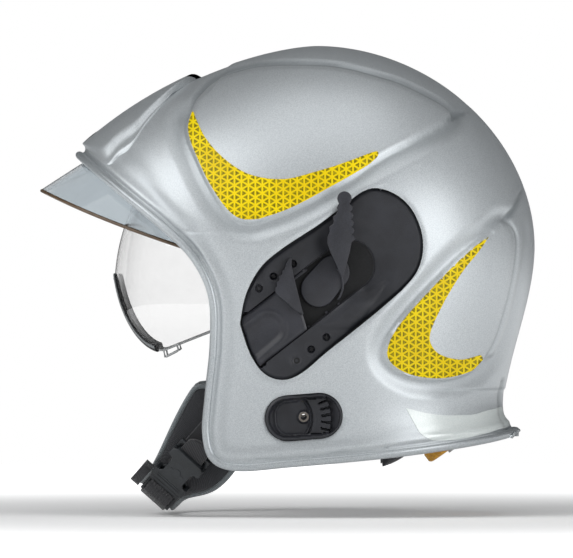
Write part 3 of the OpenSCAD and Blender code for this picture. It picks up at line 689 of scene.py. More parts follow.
SILVER = silver_paint()
TRIM = trim_paint()
BLACK = moulded("grained_nylon", (0.014, 0.015, 0.020), 0.50)
# Near-black: painted shade for the well behind the shield lever and the gaps round the housing and the port;
# the housing screws take it too
VOID = moulded("deep_black_nylon_and_painted_shade", (0.002, 0.0022, 0.003), 0.75)
LEVER = moulded("lever_nylon", (0.020, 0.021, 0.028), 0.44)
BUCKLE = moulded("buckle_acetal", (0.018, 0.021, 0.024), 0.40, 0.8, 0.02)
HARNESS = moulded("harness_nylon", (0.017, 0.018, 0.021), 0.48, 0.7)
GLOSS_BLACK = moulded("latch_acetal", (0.012, 0.012, 0.014), 0.16, 0.9, 0.01)
RUBBER = moulded("black_rubber", (0.012, 0.012, 0.013), 0.42, 0.9, 0.03)
GREY_RUBBER = moulded("grey_rubber_edge", (0.20, 0.215, 0.22), 0.40, 0.9, 0.03)
ORANGE = moulded("orange_plastic", (0.72, 0.36, 0.035), 0.38, 0.7, 0.03, 0.08)
ACETAL = moulded("natural_acetal", (0.58, 0.57, 0.54), 0.40, 0.7, 0.02, 0.06)
YELLOW = reflective_film()
PALE = pale_film()
SHIELD = clear_plastic("tinted_polycarbonate", (0.66, 0.70, 0.725), 1.22, 0.02)
SHIELD_EDGE = moulded("bronze_edge", (0.11, 0.07, 0.04), 0.25, 0.8, 0.01, 0.2)
LENS = clear_plastic("clear_polycarbonate", (0.975, 0.975, 0.975), 1.42, 0.0)
# Grey for the clear lens's edge and clips: painted shade standing in for the dark look of clear edges
LENS_EDGE = moulded("lens_edge", (0.34, 0.35, 0.355), 0.15, 1.0, 0.01, 0.1)
WEBBING = woven("black_webbing", (0.016, 0.016, 0.019))
TEXTILE = woven("knitted_textile", (0.030, 0.032, 0.036), 1.4, 0.9)
PAD_CLOTH = woven("pad_cloth", (0.017, 0.018, 0.022), 1.1, 0.85)
BINDING = woven("grey_binding", (0.16, 0.18, 0.19), 0.9, 0.8)
LEATHER = leather("brow_leather", (0.085, 0.052, 0.035))
LINER = foam("liner_foam", (0.055, 0.058, 0.062))
BRASS = metal("blackened_brass", (0.20, 0.18, 0.16), 0.42)
STEEL = metal("brushed_steel", (0.50, 0.52, 0.54), 0.32)

for names, material in (
    ("housing_screws", VOID), ("port_insert_left port_insert_right", BRASS), ("head_ring", HARNESS),
    ("pivot_pins strap_anchors ratchet_pinion", STEEL), ("impact_liner", LINER), ("shield_washers", ACETAL),
    ("shield_arm_left shield_arm_right eye_arm_left eye_arm_right", BLACK),
    ("nape_cradle ratchet_bracket", HARNESS), ("buckle_prong_upper buckle_prong_lower", GLOSS_BLACK),
):
    for node in names.split():
        NODES[node].data.materials.clear()
        NODES[node].data.materials.append(material)


# ---- camera, light and floor ----
VIEW_CENTRE = Vector((-0.038, 0.0, -0.00845))
VIEW_WIDTH = 0.37245
VIEW_DISTANCE = 6.0
FLOOR_RADIUS = 1.6


# Name, place, target, size (all in metres) and power in watts
LIGHTS = [
    ("key_right", (1.25, -1.15, 0.30), (0.03, 0, 0.0), (0.9, 1.2), 11),
    ("key_left", (-1.15, -0.75, 1.0), (-0.06, 0, 0.05), (1.25, 1.25), 13),
    ("overhead", (0.1, -0.5, 1.6), (0, 0, 0), (1.2, 1.2), 5),
]


def make_camera():
    camera = bpy.data.cameras.new("camera")
    camera.sensor_width = 36
    camera.lens = camera.sensor_width * VIEW_DISTANCE / VIEW_WIDTH
    camera.clip_end = 40
    holder = bpy.data.objects.new("camera", camera)
    holder.location = VIEW_CENTRE - Vector((0, VIEW_DISTANCE, 0))
    holder.rotation_euler = (math.pi / 2, 0, 0)
    bpy.context.scene.collection.objects.link(holder)
    bpy.context.scene.camera = holder


def area_light(name, place, target, size, power):
    light = bpy.data.lights.new(name, "AREA")
    light.shape = "RECTANGLE"
    light.size, light.size_y = size
    light.energy = power
    holder = bpy.data.objects.new(name, light)
    holder.location = place
    holder.rotation_euler = (Vector(target) - Vector(place)).to_track_quat("-Z", "Y").to_euler()
    bpy.context.scene.collection.objects.link(holder)


def studio():
    world = bpy.data.worlds.new("studio")
    bpy.context.scene.world = world
    world.use_nodes = True
    tree = world.node_tree
    ground = tree.nodes["Background"]
    coords = tree.nodes.new("ShaderNodeTexCoord")
    split = tree.nodes.new("ShaderNodeSeparateXYZ")
    tree.links.new(coords.outputs["Generated"], split.inputs[0])
    # Darker towards the back, so that the helmet's outline is dark against the white ground
    sky = map_range(tree, split.outputs[2], -0.15, 0.95, 0.40, 0.30)
    behind = map_range(tree, split.outputs[1], -0.2, 0.75, 1.0, 0.12)
    product = tree.nodes.new("ShaderNodeMath")
    product.operation = "MULTIPLY"
    tree.links.new(sky, product.inputs[0])
    tree.links.new(behind, product.inputs[1])
    tree.links.new(product.outputs[0], ground.inputs["Strength"])
    ground.inputs["Color"].default_value = (0.96, 0.98, 1.0, 1)
    white = tree.nodes.new("ShaderNodeBackground")
    white.inputs["Color"].default_value = (1, 1, 1, 1)
    path = tree.nodes.new("ShaderNodeLightPath")
    seen = tree.nodes.new("ShaderNodeMath")
    seen.operation = "MAXIMUM"
    tree.links.new(path.outputs["Is Camera Ray"], seen.inputs[0])
    tree.links.new(path.outputs["Is Transmission Ray"], seen.inputs[1])
    choose = tree.nodes.new("ShaderNodeMixShader")
    tree.links.new(seen.outputs[0], choose.inputs[0])
    tree.links.new(ground.outputs[0], choose.inputs[1])
    tree.links.new(white.outputs[0], choose.inputs[2])
    tree.links.new(choose.outputs[0], tree.nodes["World Output"].inputs["Surface"])
    for light in LIGHTS:
        area_light(*light)


def make_floor(depth):
    mesh = bpy.data.meshes.new("floor")
    bm = bmesh.new()
    bmesh.ops.create_circle(bm, cap_ends=True, segments=96, radius=FLOOR_RADIUS)
    bm.to_mesh(mesh)
    bm.free()
    floor = bpy.data.objects.new("floor", mesh)
    floor.location = (0, 0, depth)
    look = Look("pale_floor", (0.93, 0.93, 0.93), 0.9)
    look.paint(look.blend(look.noise(300, 2.0), (0.92, 0.92, 0.92), (0.94, 0.94, 0.94)))
    look.shader.inputs["Emission Color"].default_value = (1, 1, 1, 1)
    away = look.node("ShaderNodeVectorMath", operation="LENGTH")
    look.link(look.place(), away.inputs[0])
    look.link(look.ramp(away.outputs["Value"], 0.25, 1.0, 0.12, 1.1), look.shader.inputs["Emission Strength"])
    mesh.materials.append(look.material)
    bpy.context.scene.collection.objects.link(floor)


# ---- shell ----
SHELL_T = 3.0
SHELL_ROWS, SHELL_COLS = 281, 380


def make_shell():
    u = np.linspace(0, 1, SHELL_ROWS + 2)[1:-1]
    v = np.linspace(0, 1, SHELL_COLS + 1)
    x, z = side_view_grid(u, v)
    side = np.where(v < 0.5, -1.0, 1.0)[None, :]
    plain = np.stack([x, shell_y(x, z) * side, z], -1)
    n = unit(np.cross(np.gradient(plain, axis=1), np.gradient(plain, axis=0)))
    n *= np.sign(np.sum(n * (plain - [CROWN_X, 0, 0]), axis=-1, keepdims=True) + 1e-9)
    height, shade = relief(x, z)
    points = plain + n * height[..., None]
    faces = grid_faces(*x.shape)
    flat = points.reshape(-1, 3)
    view = np.stack([x.ravel(), z.ravel()], -1)
    wide = np.abs(flat[:, 1]) > 60
    faces = np.array(faces)
    for loop in (housing_outline(0.45), port_outline(0.45)):
        within = inside(view, loop) & wide
        faces = faces[~within[faces].all(axis=1)]
        snap = np.unique(faces[within[faces]])
        spot = nearest(view[snap], loop, True)[1]
        sign = np.sign(flat[snap, 1])
        moved = skin(spot[:, 0], spot[:, 1])
        flat[snap] = moved * np.stack([np.ones_like(sign), -sign, np.ones_like(sign)], -1)
        view[snap] = spot
    used = np.unique(faces)
    number = np.full(len(flat), -1)
    number[used] = np.arange(len(used))
    piece = make("shell", flat[used], [tuple(f) for f in number[faces].tolist()], SILVER, "shell",
                 ["outer_shell"], 180)
    mesh = piece.data
    attribute = mesh.attributes.new("shade", "FLOAT", "POINT")
    attribute.data.foreach_set("value", shade.ravel()[used].astype(np.float32))
    centre_face = max(mesh.polygons, key=lambda f: f.center.z)
    if centre_face.normal.z < 0:
        mesh.flip_normals()
    m = piece.modifiers.new("wall", "SOLIDIFY")
    m.thickness = SHELL_T * MM
    m.offset = -1
    apply_modifiers(piece)
    piece.data.set_sharp_from_angle(angle=math.radians(50))
    return piece


def make_rim():
    """A rounded bead that wraps the shell's edge."""
    steps = 300
    e = edge_line(np.linspace(0, 1, steps + 1))
    y = shell_y(e[:, 0], e[:, 1])
    left = np.stack([e[:, 0], -y, e[:, 1]], -1)
    path = np.concatenate([left[:-1], (left * [1, -1, 1])[::-1][:-1]])
    run = unit(np.roll(path, -1, axis=0) - np.roll(path, 1, axis=0))
    out = unit((path - [CROWN_X, 0, WAIST_Z]) * [1, 1.2, 0])
    down = unit(np.cross(out, run))
    side = unit(np.cross(run, down))
    centre = path - side * 1.3 + down * 1.5
    rings = [centre + side * 2.55 * math.cos(a) + down * (2.0 if math.sin(a) > 0 else 3.4) * math.sin(a)
             for a in np.linspace(0, 2 * math.pi, 16, endpoint=False)]
    points, faces = swept(np.stack(rings, 1), True)
    make("rim_bead", points, faces, TRIM, "shell", ["rim_trim"], 180)


# ---- front plate ----
PLATE_TOP = [(-170.5, 79.8), (-163, 86.2), (-155, 92), (-143.8, 99.5), (-128.9, 107.8), (-117, 113.6),
             (-105, 119.4), (-92.4, 124.6)]
PLATE_LOW = [(-169.5, 77), (-162, 69), (-153, 62.6), (-146, 70.5), (-137, 77.5), (-129.5, 89.5),
             (-118, 104), (-109.4, 114.5)]


def make_front_plate():
    rows, cols = 70, 60
    s = np.linspace(0, 1, rows)
    v = np.linspace(0, 1, 2 * cols + 1)
    w = np.sin(math.pi / 2 * (1 - np.abs(2 * v - 1)))[None, :]
    top, low = curve_at(PLATE_TOP, s), curve_at(PLATE_LOW, s)
    x = mix(low[:, :1], top[:, :1], w)
    z = mix(low[:, 1:], top[:, 1:], w)
    limit = CROWN_X - front_axis(z)
    x = np.maximum(x, limit)
    side = np.where(v < 0.5, -1.0, 1.0)[None, :]
    plain = np.stack([x, shell_y(x, z) * side, z], -1)
    n = unit(np.stack([(x - CROWN_X) / FRONT_REACH, plain[..., 1] / HALF_WIDTH, (z - WAIST_Z) / DOME], -1)
             + np.array([-0.15, 0, 0.25]))
    across = 1 - np.abs(2 * v - 1)[None, :]
    fore = smooth(s / 0.055)[:, None] * smooth((1 - s) / 0.10)[:, None]
    flank = smooth(across / 0.06) * (0.42 + 0.58 * smooth((across - mix(0.10, 0.18, s[:, None])) / 0.16))
    lip = 0.5 * bump(s[:, None] - 0.06, 0.05) * smooth(across / 0.05)
    lift = -1.6 + 5.4 * fore * flank + lip - 3.2 * (1 - smooth((1 - s[:, None]) / 0.07))
    front = plain + n * lift[..., None]
    back = plain + n * (np.minimum(-2.2, lift - 0.6))[..., None]
    points, faces = two_skins(front, back)
    make("front_plate", points, faces, SILVER, "shell", ["front_plate"], 60)


# ---- reflective film ----
FILMS = {
    "front_reflectors": (
        [(-98.8, 99.2), (-101.2, 90.5), (-100, 81.4), (-95, 68.9), (-88.7, 55.4), (-79.8, 41), (-72.5, 33),
         (-66, 29.8), (-57, 29.8), (-52.4, 30.9), (-38.9, 35.5), (-25.2, 42), (-11.5, 49.6), (2.2, 57.3),
         (14, 64.7), (20.2, 69.8)],
        [(-98, 99.3), (-94.6, 91), (-89.9, 82), (-82.6, 73), (-73.5, 65), (-63.4, 59), (-52.5, 56),
         (-43.4, 55.2), (-34.3, 55.9), (-20.6, 59.6), (-7, 63.7), (6.8, 68.6), (15, 71.8), (19, 72.9),
         (20.4, 72.6), (20.8, 71.6)],
    ),
    "rear_reflectors": (
        [(91.6, 18.6), (82.6, 12.2), (70.1, 1), (57.7, -11.5), (45.2, -24.7), (35.3, -36.3), (28.8, -46.4),
         (26.3, -54.6), (27.7, -60.4), (32.9, -65.4), (41.1, -69.4), (51, -71.5), (61.9, -71.9),
         (72.6, -70.2), (81, -67), (88, -60.5)],
        [(91.7, 18.4), (84, 8), (75, -3), (66, -17), (59.6, -29), (55.4, -38), (53.4, -44.6), (54, -49.6),
         (57.7, -55), (64.3, -58.4), (72.6, -60), (76.5, -59.8), (80.9, -58.8), (84.5, -57.8), (86.5, -57.4),
         (88, -58.6)],
    ),
}
STRIP = (
    [(43, -99.5), (47.5, -106.8), (52.6, -110.4), (57.8, -111.7), (66, -111.6), (75, -110.8), (86, -108.6),
     (97, -105.6), (107, -103.2)],
    [(38.2, -90.8), (45, -92.6), (52.6, -94.4), (64.5, -95.7), (78, -95.7), (84, -95), (90, -93.3),
     (97, -92), (102.4, -90.8)],
)


def make_film(name, node, outer, inner, material, slot, lift, rows=150, cols=26):
    t, s = np.linspace(0, 1, rows), np.linspace(0, 1, cols)
    a, b = curve_at(outer, t), curve_at(inner, t)
    x = mix(a[:, :1], b[:, :1], s[None, :])
    z = mix(a[:, 1:], b[:, 1:], s[None, :])
    reach = CROWN_X + rear_axis(z) - 0.3
    x = np.minimum(x, reach)
    front, back = skin(x, z, lift), skin(x, z, -0.25)
    pieces = []
    for side, word in ((1, "left"), (-1, "right")):
        points, faces = two_skins(mirrored(front.reshape(-1, 3), side).reshape(front.shape),
                                  mirrored(back.reshape(-1, 3), side).reshape(back.shape))
        pieces.append(make(f"{name}_{word}", points, faces, material, "shell", [node], 40))
    return pieces


# ---- parts drawn as heights over the side view ----


def height_solid(name, outer, holes, height, base, material, replaces=(), spacing=1.3, loops=(),
                 angle=30):
    """A solid on both sides of the helmet: its outer face is height(x, z), its inner face lies at y = base.

    The outlines in loops become mesh edges, so steps along them are crisp.
    """
    rings = [outer, *holes]
    lo, hi = outer.min(0), outer.max(0)
    gx, gz = np.meshgrid(np.arange(lo[0], hi[0], spacing), np.arange(lo[1], hi[1], spacing))
    gx = gx + (np.arange(gx.shape[0]) % 2)[:, None] * spacing / 2
    dots = np.stack([gx.ravel(), gz.ravel()], -1)
    keep = inside(dots, outer)
    for ring in [*rings, *loops]:
        keep &= nearest(dots, ring, True)[0] > spacing * 0.45
    for ring in holes:
        keep &= ~inside(dots, ring)
    points, edges = [], []
    for ring in [*rings, *loops]:
        start = len(points)
        points += [Vector(p) for p in ring]
        edges += [(start + i, start + (i + 1) % len(ring)) for i in range(len(ring))]
    points += [Vector(p) for p in dots[keep]]
    flat, _, faces, _, _, _ = geometry.delaunay_2d_cdt(points, edges, [], 0, 1e-5)
    flat = np.array([tuple(p) for p in flat])
    faces = np.array([f for f in faces])
    middle = flat[faces].mean(axis=1)
    good = inside(middle, outer)
    for ring in holes:
        good &= ~inside(middle, ring)
    faces = faces[good]
    top = np.stack([flat[:, 0], -height(flat[:, 0], flat[:, 1]), flat[:, 1]], -1)
    low = np.stack([flat[:, 0], np.full(len(flat), -base), flat[:, 1]], -1)
    k = len(flat)
    every = [tuple(f) for f in faces.tolist()] + [tuple(k + i for i in reversed(f)) for f in faces.tolist()]
    count = {}
    for f in faces.tolist():
        for a, b in zip(f, f[1:] + f[:1]):
            count[(a, b)] = count.get((a, b), 0) + 1
    every += [(b, a, a + k, b + k) for (a, b) in count if (b, a) not in count]
    made = []
    for side, word in ((1, "left"), (-1, "right")):
        where = mirrored(np.concatenate([top, low]), side)
        used = sorted({i for f in every for i in f})
        number = {old: new for new, old in enumerate(used)}
        swap = [n.replace("SIDE", word) for n in replaces]
        body, title = name
        made.append(make(f"{title}_{word}", where[used], [tuple(number[i] for i in f) for f in every],
                         material, body, swap, angle))
    return made


def slab(outline, low, high, material, body, title, side=1, edge=0.5, replaces=(), segments=3):
    """An extruded outline between two distances from the mid-plane, with rounded edges."""
    p = np.asarray(outline, float)
    near = np.stack([p[:, 0], np.full(len(p), -high), p[:, 1]], -1)
    far = np.stack([p[:, 0], np.full(len(p), -low), p[:, 1]], -1)
    n = len(p)
    faces = [tuple(range(n)), tuple(range(2 * n - 1, n - 1, -1))]
    faces += [(i, (i + 1) % n, n + (i + 1) % n, n + i) for i in range(n)]
    piece = make(title, mirrored(np.concatenate([near, far]), side), faces, material, body, replaces)
    if edge:
        bevel(piece, edge, segments)
    piece.data.set_sharp_from_angle(angle=math.radians(40))
    return piece


def both_sides(build):
    for side, word in ((1, "left"), (-1, "right")):
        build(side, word)


# ---- side housing ----
UPPER_HOLES = [(-55.5, -14.5), (-46.2, -6.8), (-33.8, 1.2)]
LOWER_HOLES = [(-31.6, -60.5), (-22.2, -53.4), (-12.5, -45.6)]
RAMP = np.array([(27.5, -8.6), (12, -16.5), (2, -19.8), (-9, -30), (-21.5, -40.0), (-6, -40.6), (2.6, -40.5),
                 (12, -33)])
HOLE_R, SCREW_SEAT, HOLE_FLOOR = 2.55, 112.6, 108.7
CHANNEL_FLOOR, END_WALL, HOUSING_BACK = 106.15, 112.3, 103.4


def wall_top(x):
    return 115.4 - 0.052 * (x + 67)


def housing_height(x, z):
    p = np.stack([x, z], -1)
    edge = signed(p, housing_outline(0))
    channel = signed(p, channel_outline())
    rim = nearest(p, channel_outline()[1:-1])[0]
    top = wall_top(x) - 1.3 * (1 - smooth(edge / 2.6)) ** 2
    along = (p - PIVOT) @ ALONG
    top -= 3.2 * (1 - smooth(rim / 15)) * smooth((along - 8) / 16) * (channel < 0)
    top -= 0.5 * (channel < 0) * (1 - smooth(rim / 1.2))
    ramp = signed(p, RAMP)
    top += 1.7 * smooth(ramp / 1.0 + 0.3) * smooth(ramp / 9 + 0.35)
    for hole in UPPER_HOLES + LOWER_HOLES:
        gap = np.hypot(*(p - hole).T)
        top -= 0.45 * bump(gap - 3.2, 0.7)
        floor = SCREW_SEAT if hole in (UPPER_HOLES[0], LOWER_HOLES[0]) else HOLE_FLOOR
        top = np.where(gap < HOLE_R, floor, top)
    return np.where(channel > -0.06, np.where(edge < 0.3, END_WALL, CHANNEL_FLOOR), top)


def make_flange(title, outer, inner):
    """A black lip behind the gap between the shell and a fitting that is let into it; its near-black colour
    is painted shade that makes the gap read dark.
    """
    height_solid(("shell", title), outer, [inner], lambda x, z: shell_y(x, z) - SHELL_T - 0.6, 103.5, VOID,
                 (), 2.0, [], 60)


def make_housing():
    make_flange("housing_flange", housing_outline(5.0), housing_outline(-0.5))
    circles = [arc(h, 2.6, 0, 345, 24) for h in UPPER_HOLES + LOWER_HOLES]
    channel = channel_outline()
    ring = []
    for i in range(len(channel)):
        a, b = channel[i], channel[(i + 1) % len(channel)]
        steps = max(2, int(np.hypot(*(b - a)) / 1.5))
        ring += [a + (b - a) * t for t in np.linspace(0, 1, steps, endpoint=False)]
    ring = np.array(ring)
    keep = inside(ring, housing_outline(-0.4))
    start = int(np.argmax(~keep))
    order = np.roll(np.arange(len(ring)), -start)
    line = ring[[i for i in order if keep[i]]]
    wall = line + unit(line - nearest(line, CHANNEL_SPINE)[1]) * 0.16
    height_solid(("shell", "side_housing"), housing_outline(0), [], housing_height, HOUSING_BACK, BLACK,
                 ["side_housing_SIDE"], 1.2, [line, wall[3:-3], *circles])
    # The dark well behind the shield lever: a thin near-black sheet on its floor, painted shade
    shown = turned(np.concatenate([arc((CHANNEL_END, 0), 15.4, -90, 90, 30), [(-38, 15.4), (-38, -15.4)]]),
                   CHANNEL_TURN, PIVOT)
    both_sides(lambda side, word: slab(shown, 106.0, 106.32, VOID, "shell",
                                       f"channel_floor_{word}", side, 0))
    bumps = [(-27.3, -2.6), (-16.3, 6.2), (-12.4, -29.9), (-4.6, -24.4), (-24, -39)]

    def studs(side, word):
        pieces = []
        for k, (x, z) in enumerate(bumps):
            pieces.append(slab(arc((x, z), 0.9, 0, 330, 12), 106.2, 108.7, LEVER, "shell",
                               f"stud_{word}_{k}", side, 0.35, segments=2))
        join(f"detent_studs_{word}", pieces)
        rail = turned([(-22, 13.9), (2, 13.9), (2, 15.9), (-22, 15.9)], CHANNEL_TURN, PIVOT)
        slab(rail, 106.2, 108.0, LEVER, "shell", f"channel_rail_{word}", side, 0.4)

    both_sides(studs)


# ---- levers ----


def scalloped(points, start, stop, count, r):
    """Replaces the straight run from start to stop by outward scallops."""
    a, b = np.array(points[start], float), np.array(points[stop], float)
    run = unit(b - a)
    out = np.array([run[1], -run[0]])
    pitch = np.hypot(*(b - a)) / count
    teeth = []
    for k in range(count):
        c = a + run * pitch * (k + 0.5)
        for t in np.linspace(-1, 1, 9)[:-1]:
            teeth.append(c + run * pitch / 2 * t + out * r * math.cos(t * math.pi / 2) ** 0.7)
    return points[:start] + [tuple(t) for t in teeth] + points[stop:]


def make_shield_lever(side, word):
    def layer(outline, low, high, title, edge):
        return slab(outline + PIVOT, low, high, LEVER, "shield_levers", f"{title}_{word}",
                    side, edge)

    shoe = np.concatenate([arc((0, 0), 11.4, 140, 320, 30),
                           turned(arc((14, 0), 10.9, -90, 90, 24), math.radians(50))])
    first = layer(shoe, 106.45, 108.6, "shoe", 0.7)
    crescent = np.concatenate([arc((0.5, 3), 15.8, -38, 40, 16), arc((-1.6, 3), 16.4, 38, -36, 16)])
    ridge = layer(crescent, 108.2, 110.6, "ridge", 0.6)
    foot = np.array([(15.5, 8), (20, 24), (21, 30), (15.5, 30.5), (11, 24), (11.5, 18)])
    riser = layer(foot, 108.4, 124, "riser", 0.5)
    right = [(15.5, 6.5), (17.6, 15), (19.8, 24), (20.6, 29)]
    body = right + [(21.2, 30), (19.6, 54.2)]
    body = scalloped(body, 4, 5, 5, 1.9)
    ball = [tuple(p) for p in arc((16.4, 57.8), 4.6, -38, 222, 26)]
    left = [(12.2, 53.6), (11.4, 52), (12.2, 50.2), (11.0, 47.6), (8.9, 46.2), (9.6, 43.8), (9.2, 41.6),
            (6.6, 39.8), (7.0, 36.6), (5.6, 33.5), (5.4, 29.5), (7.4, 23.5), (10.8, 16.5), (13.4, 10.5)]
    blade = layer(np.array(body + ball + left), 123.0, 125.3, "blade", 0.55)
    joined = join(f"shield_lever_body_{word}", [first, ridge, riser, blade])
    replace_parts(joined, f"shield_lever_{word}")


def make_eye_lever():
    low = CHANNEL_HALF - 0.6
    frame_line = turned([(-60, -low), (10, -low), (10, low), (-60, low)], CHANNEL_TURN, PIVOT)
    pad = [(-49.5, -18.5), (-27.5, -0.6), (-17.2, 7), (-7.2, -25.8), (-36.5, -49.5), (-47, -40)]
    pad = np.array(pad, float) + PIVOT
    dense = []
    for i in range(len(pad)):
        a, b = pad[i], pad[(i + 1) % len(pad)]
        dense += [a + (b - a) * t for t in np.linspace(0, 1, 16, endpoint=False)]
    dense = np.array(dense)
    for _ in range(3):
        spot = nearest(dense, frame_line, True)[1]
        out = ~inside(dense, frame_line)
        dense[out] = spot[out]
        limit = housing_outline(-1.0)
        out = ~inside(dense, limit)
        dense[out] = nearest(dense, limit, True)[1][out]
    keep = np.ones(len(dense), bool)
    for i in range(1, len(dense)):
        keep[i] = np.hypot(*(dense[i] - dense[i - 1])) > 0.15
    dense = dense[keep]
    scoop = turned(np.concatenate([arc((0, 0), 10.5, -90, 90, 26), [(-22, 11.5), (-22, -11.5)]]),
                   CHANNEL_TURN, (-49.5, -40.2))

    def height(x, z):
        p = np.stack([x, z], -1)
        edge = signed(p, dense)
        well = signed(p, scoop)
        rim = 0.45 * bump(well + 0.6, 1.1)
        top = 113.0 - 0.7 * (1 - smooth(edge / 1.4)) + rim
        return top - 1.9 * smooth(well / 4.2) - 0.4 * smooth(well / 14)

    pads = height_solid(("eye_levers", "eye_lever_pad"), dense, [], height, 109.1, LEVER, (),
                        0.9, [], 50)
    for pad_piece, side, word in zip(pads, (1, -1), ("left", "right")):
        foot = np.array([(-26, -1), (-20, 3), (-15, 3), (-9.5, -16), (-14, -14)]) + PIVOT
        riser = slab(foot, 112.4, 118, LEVER, "eye_levers", f"eye_riser_{word}", side, 0.5)
        blade = [(-27.4, -2.6), (-27.8, 0.6), (-26.4, 2.2), (-26.9, 4.6), (-25.0, 5.8), (-25.2, 8.4),
                 (-23.2, 9.4), (-23.2, 11.8), (-21.4, 13.2), (-20.9, 16.0), (-19.4, 18.6), (-18.2, 20.0),
                 (-17.1, 19.4), (-17.3, 15.6), (-15.8, 8.5), (-9.8, -16.2), (-14.2, -14.2), (-20.5, -8.4)]
        arm = slab(np.array(blade) + PIVOT, 115.9, 118.3, LEVER, "eye_levers",
                   f"eye_blade_{word}", side, 0.5)
        joined = join(f"eye_lever_body_{word}", [pad_piece, riser, arm])
        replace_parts(joined, f"eye_lever_{word}")


# ---- accessory port ----


def port_local(p):
    """Side-view places in the port's own axes."""
    d = p - PORT_CENTRE
    c, s = math.cos(PORT_TURN), math.sin(PORT_TURN)
    return d[:, 0] * c + d[:, 1] * s, -d[:, 0] * s + d[:, 1] * c


PORT_WELL = turned(np.concatenate([arc((6.5, 0), 12.2, -62, 62, 14), arc((-9.5, 2.2), 8.2, 90, 180, 10),
                                   arc((-9.5, -2.2), 8.2, 180, 270, 10)]), PORT_TURN, PORT_CENTRE)


PORT_FACE, PORT_FLOOR, WELL_FLOOR, SLOT_FLOOR = 115.8, 110.6, 109.0, 109.2
SPOKE_START, SPOKE_END, FAN_CENTRE = 19.8, 31.5, 14.0


def port_height(x, z):
    p = np.stack([x, z], -1)
    a, b = port_local(p)
    edge = signed(p, port_outline(0))
    face = PORT_FACE - 0.9 * (1 - smooth(edge / 1.2))
    h = mix(face, PORT_FLOOR, smooth((edge - 1.6) / 1.6))
    well = signed(p, PORT_WELL)
    h = mix(h, WELL_FLOOR, smooth(well / 1.1) * (a < 2.5))
    h += 0.6 * bump(well + 0.5, 0.8) * (a < 3) * (edge > 3)
    boss = np.hypot(a, b)
    h = np.where(boss < 5.0, np.maximum(h, mix(111.2, WELL_FLOOR, smooth((boss - 3.4) / 1.6))), h)
    spoke = np.hypot(a + FAN_CENTRE, b)
    rib = 2.3 * smooth(1.6 - 2.0 * np.abs(spoke - 18.3)) * (np.abs(b) < 10.4)
    h = np.maximum(h, 109.6 + rib)
    block = (spoke > SPOKE_START) & (spoke < SPOKE_END) & (np.abs(b) < 11.0)
    turn = np.degrees(np.arctan2(b, a + FAN_CENTRE))
    slot = (np.abs((turn + 4.5) % 9 - 4.5) < 1.3 - 0.02 * np.abs(turn)) & (spoke > 25.3)
    h = np.where(block, np.where(slot, SLOT_FLOOR, 112.2 - 0.4 * smooth((26 - spoke) / 4)), h)
    dish = (spoke >= SPOKE_END) & (edge > 1.4)
    h = np.where(dish, mix(109.8, 114.2, smooth((spoke - SPOKE_END) / 6.5)), h)
    return np.minimum(h, PORT_FACE)


def make_port():
    make_flange("port_flange", port_outline(3.5), port_outline(-0.5))
    insert = arc(PORT_CENTRE, 3.3, 0, 348, 30)
    height_solid(("shell", "accessory_port"), port_outline(0), [insert], port_height, 106.1, BLACK,
                 ["accessory_port_SIDE"], 0.62, [], 35)


# ---- visors ----


def shield_grid(rows, cols, inset):
    k = np.linspace(0, 1, rows)[:, None]
    f = np.linspace(-1, 1, cols)[None, :]
    phi = np.radians(78 * np.abs(f))
    low = 160.4 + 3 * np.sin(phi) ** 2
    top = 100 + 38 * smooth((np.degrees(phi) - 35) / 43)
    a = mix(top, low, k)
    radius = 149.5 + 42 * (np.maximum(0, a - 105) / 55.4) ** 3.3
    r = (radius - inset) * np.cos(phi) ** (2 / 2.2)
    y = (101 - inset) * np.sin(phi) ** (2 / 2.2) * np.sign(f) * np.ones_like(k)
    a = np.radians(a)
    return np.stack([PIVOT[0] + r * np.cos(a), y, PIVOT[1] + r * np.sin(a)], -1)


def eye_grid(rows, cols, inset, reach=1.0, ks=None):
    k = (np.linspace(0, 1, rows) if ks is None else np.asarray(ks))[:, None]
    f = np.linspace(-reach, reach, cols)[None, :]
    phi = 76 * np.abs(f)
    low = mix(177, 201.5, smooth((phi - 3) / 36))
    top = 150 + 16 * smooth((phi - 30) / 40)
    a = np.radians(mix(top, low, k))
    phi = np.radians(phi)
    r = (132.3 - inset) * np.cos(phi) ** (2 / 2.3)
    y = (95.5 - inset) * np.sin(phi) ** (2 / 2.3) * np.sign(f) * np.ones_like(k)
    return np.stack([PIVOT[0] + r * np.cos(a), y, PIVOT[1] + r * np.sin(a)], -1)


def tube(title, path, r, material, body, closed=False, sides=10, flat=1.0, up=(0, 0, 1)):
    """A round or flattened tube along a path of points."""
    path = np.asarray(path, float)
    if closed:
        run = unit(np.roll(path, -1, axis=0) - np.roll(path, 1, axis=0))
    else:
        run = unit(np.gradient(path, axis=0))
    side = unit(np.cross(run, np.asarray(up, float)))
    top = np.cross(side, run)
    rings = [path + side * r * math.cos(a) + top * r * flat * math.sin(a)
             for a in np.linspace(0, 2 * math.pi, sides, endpoint=False)]
    points, faces = swept(np.stack(rings, 1), closed)
    return make(title, points, faces, material, body, (), 60)


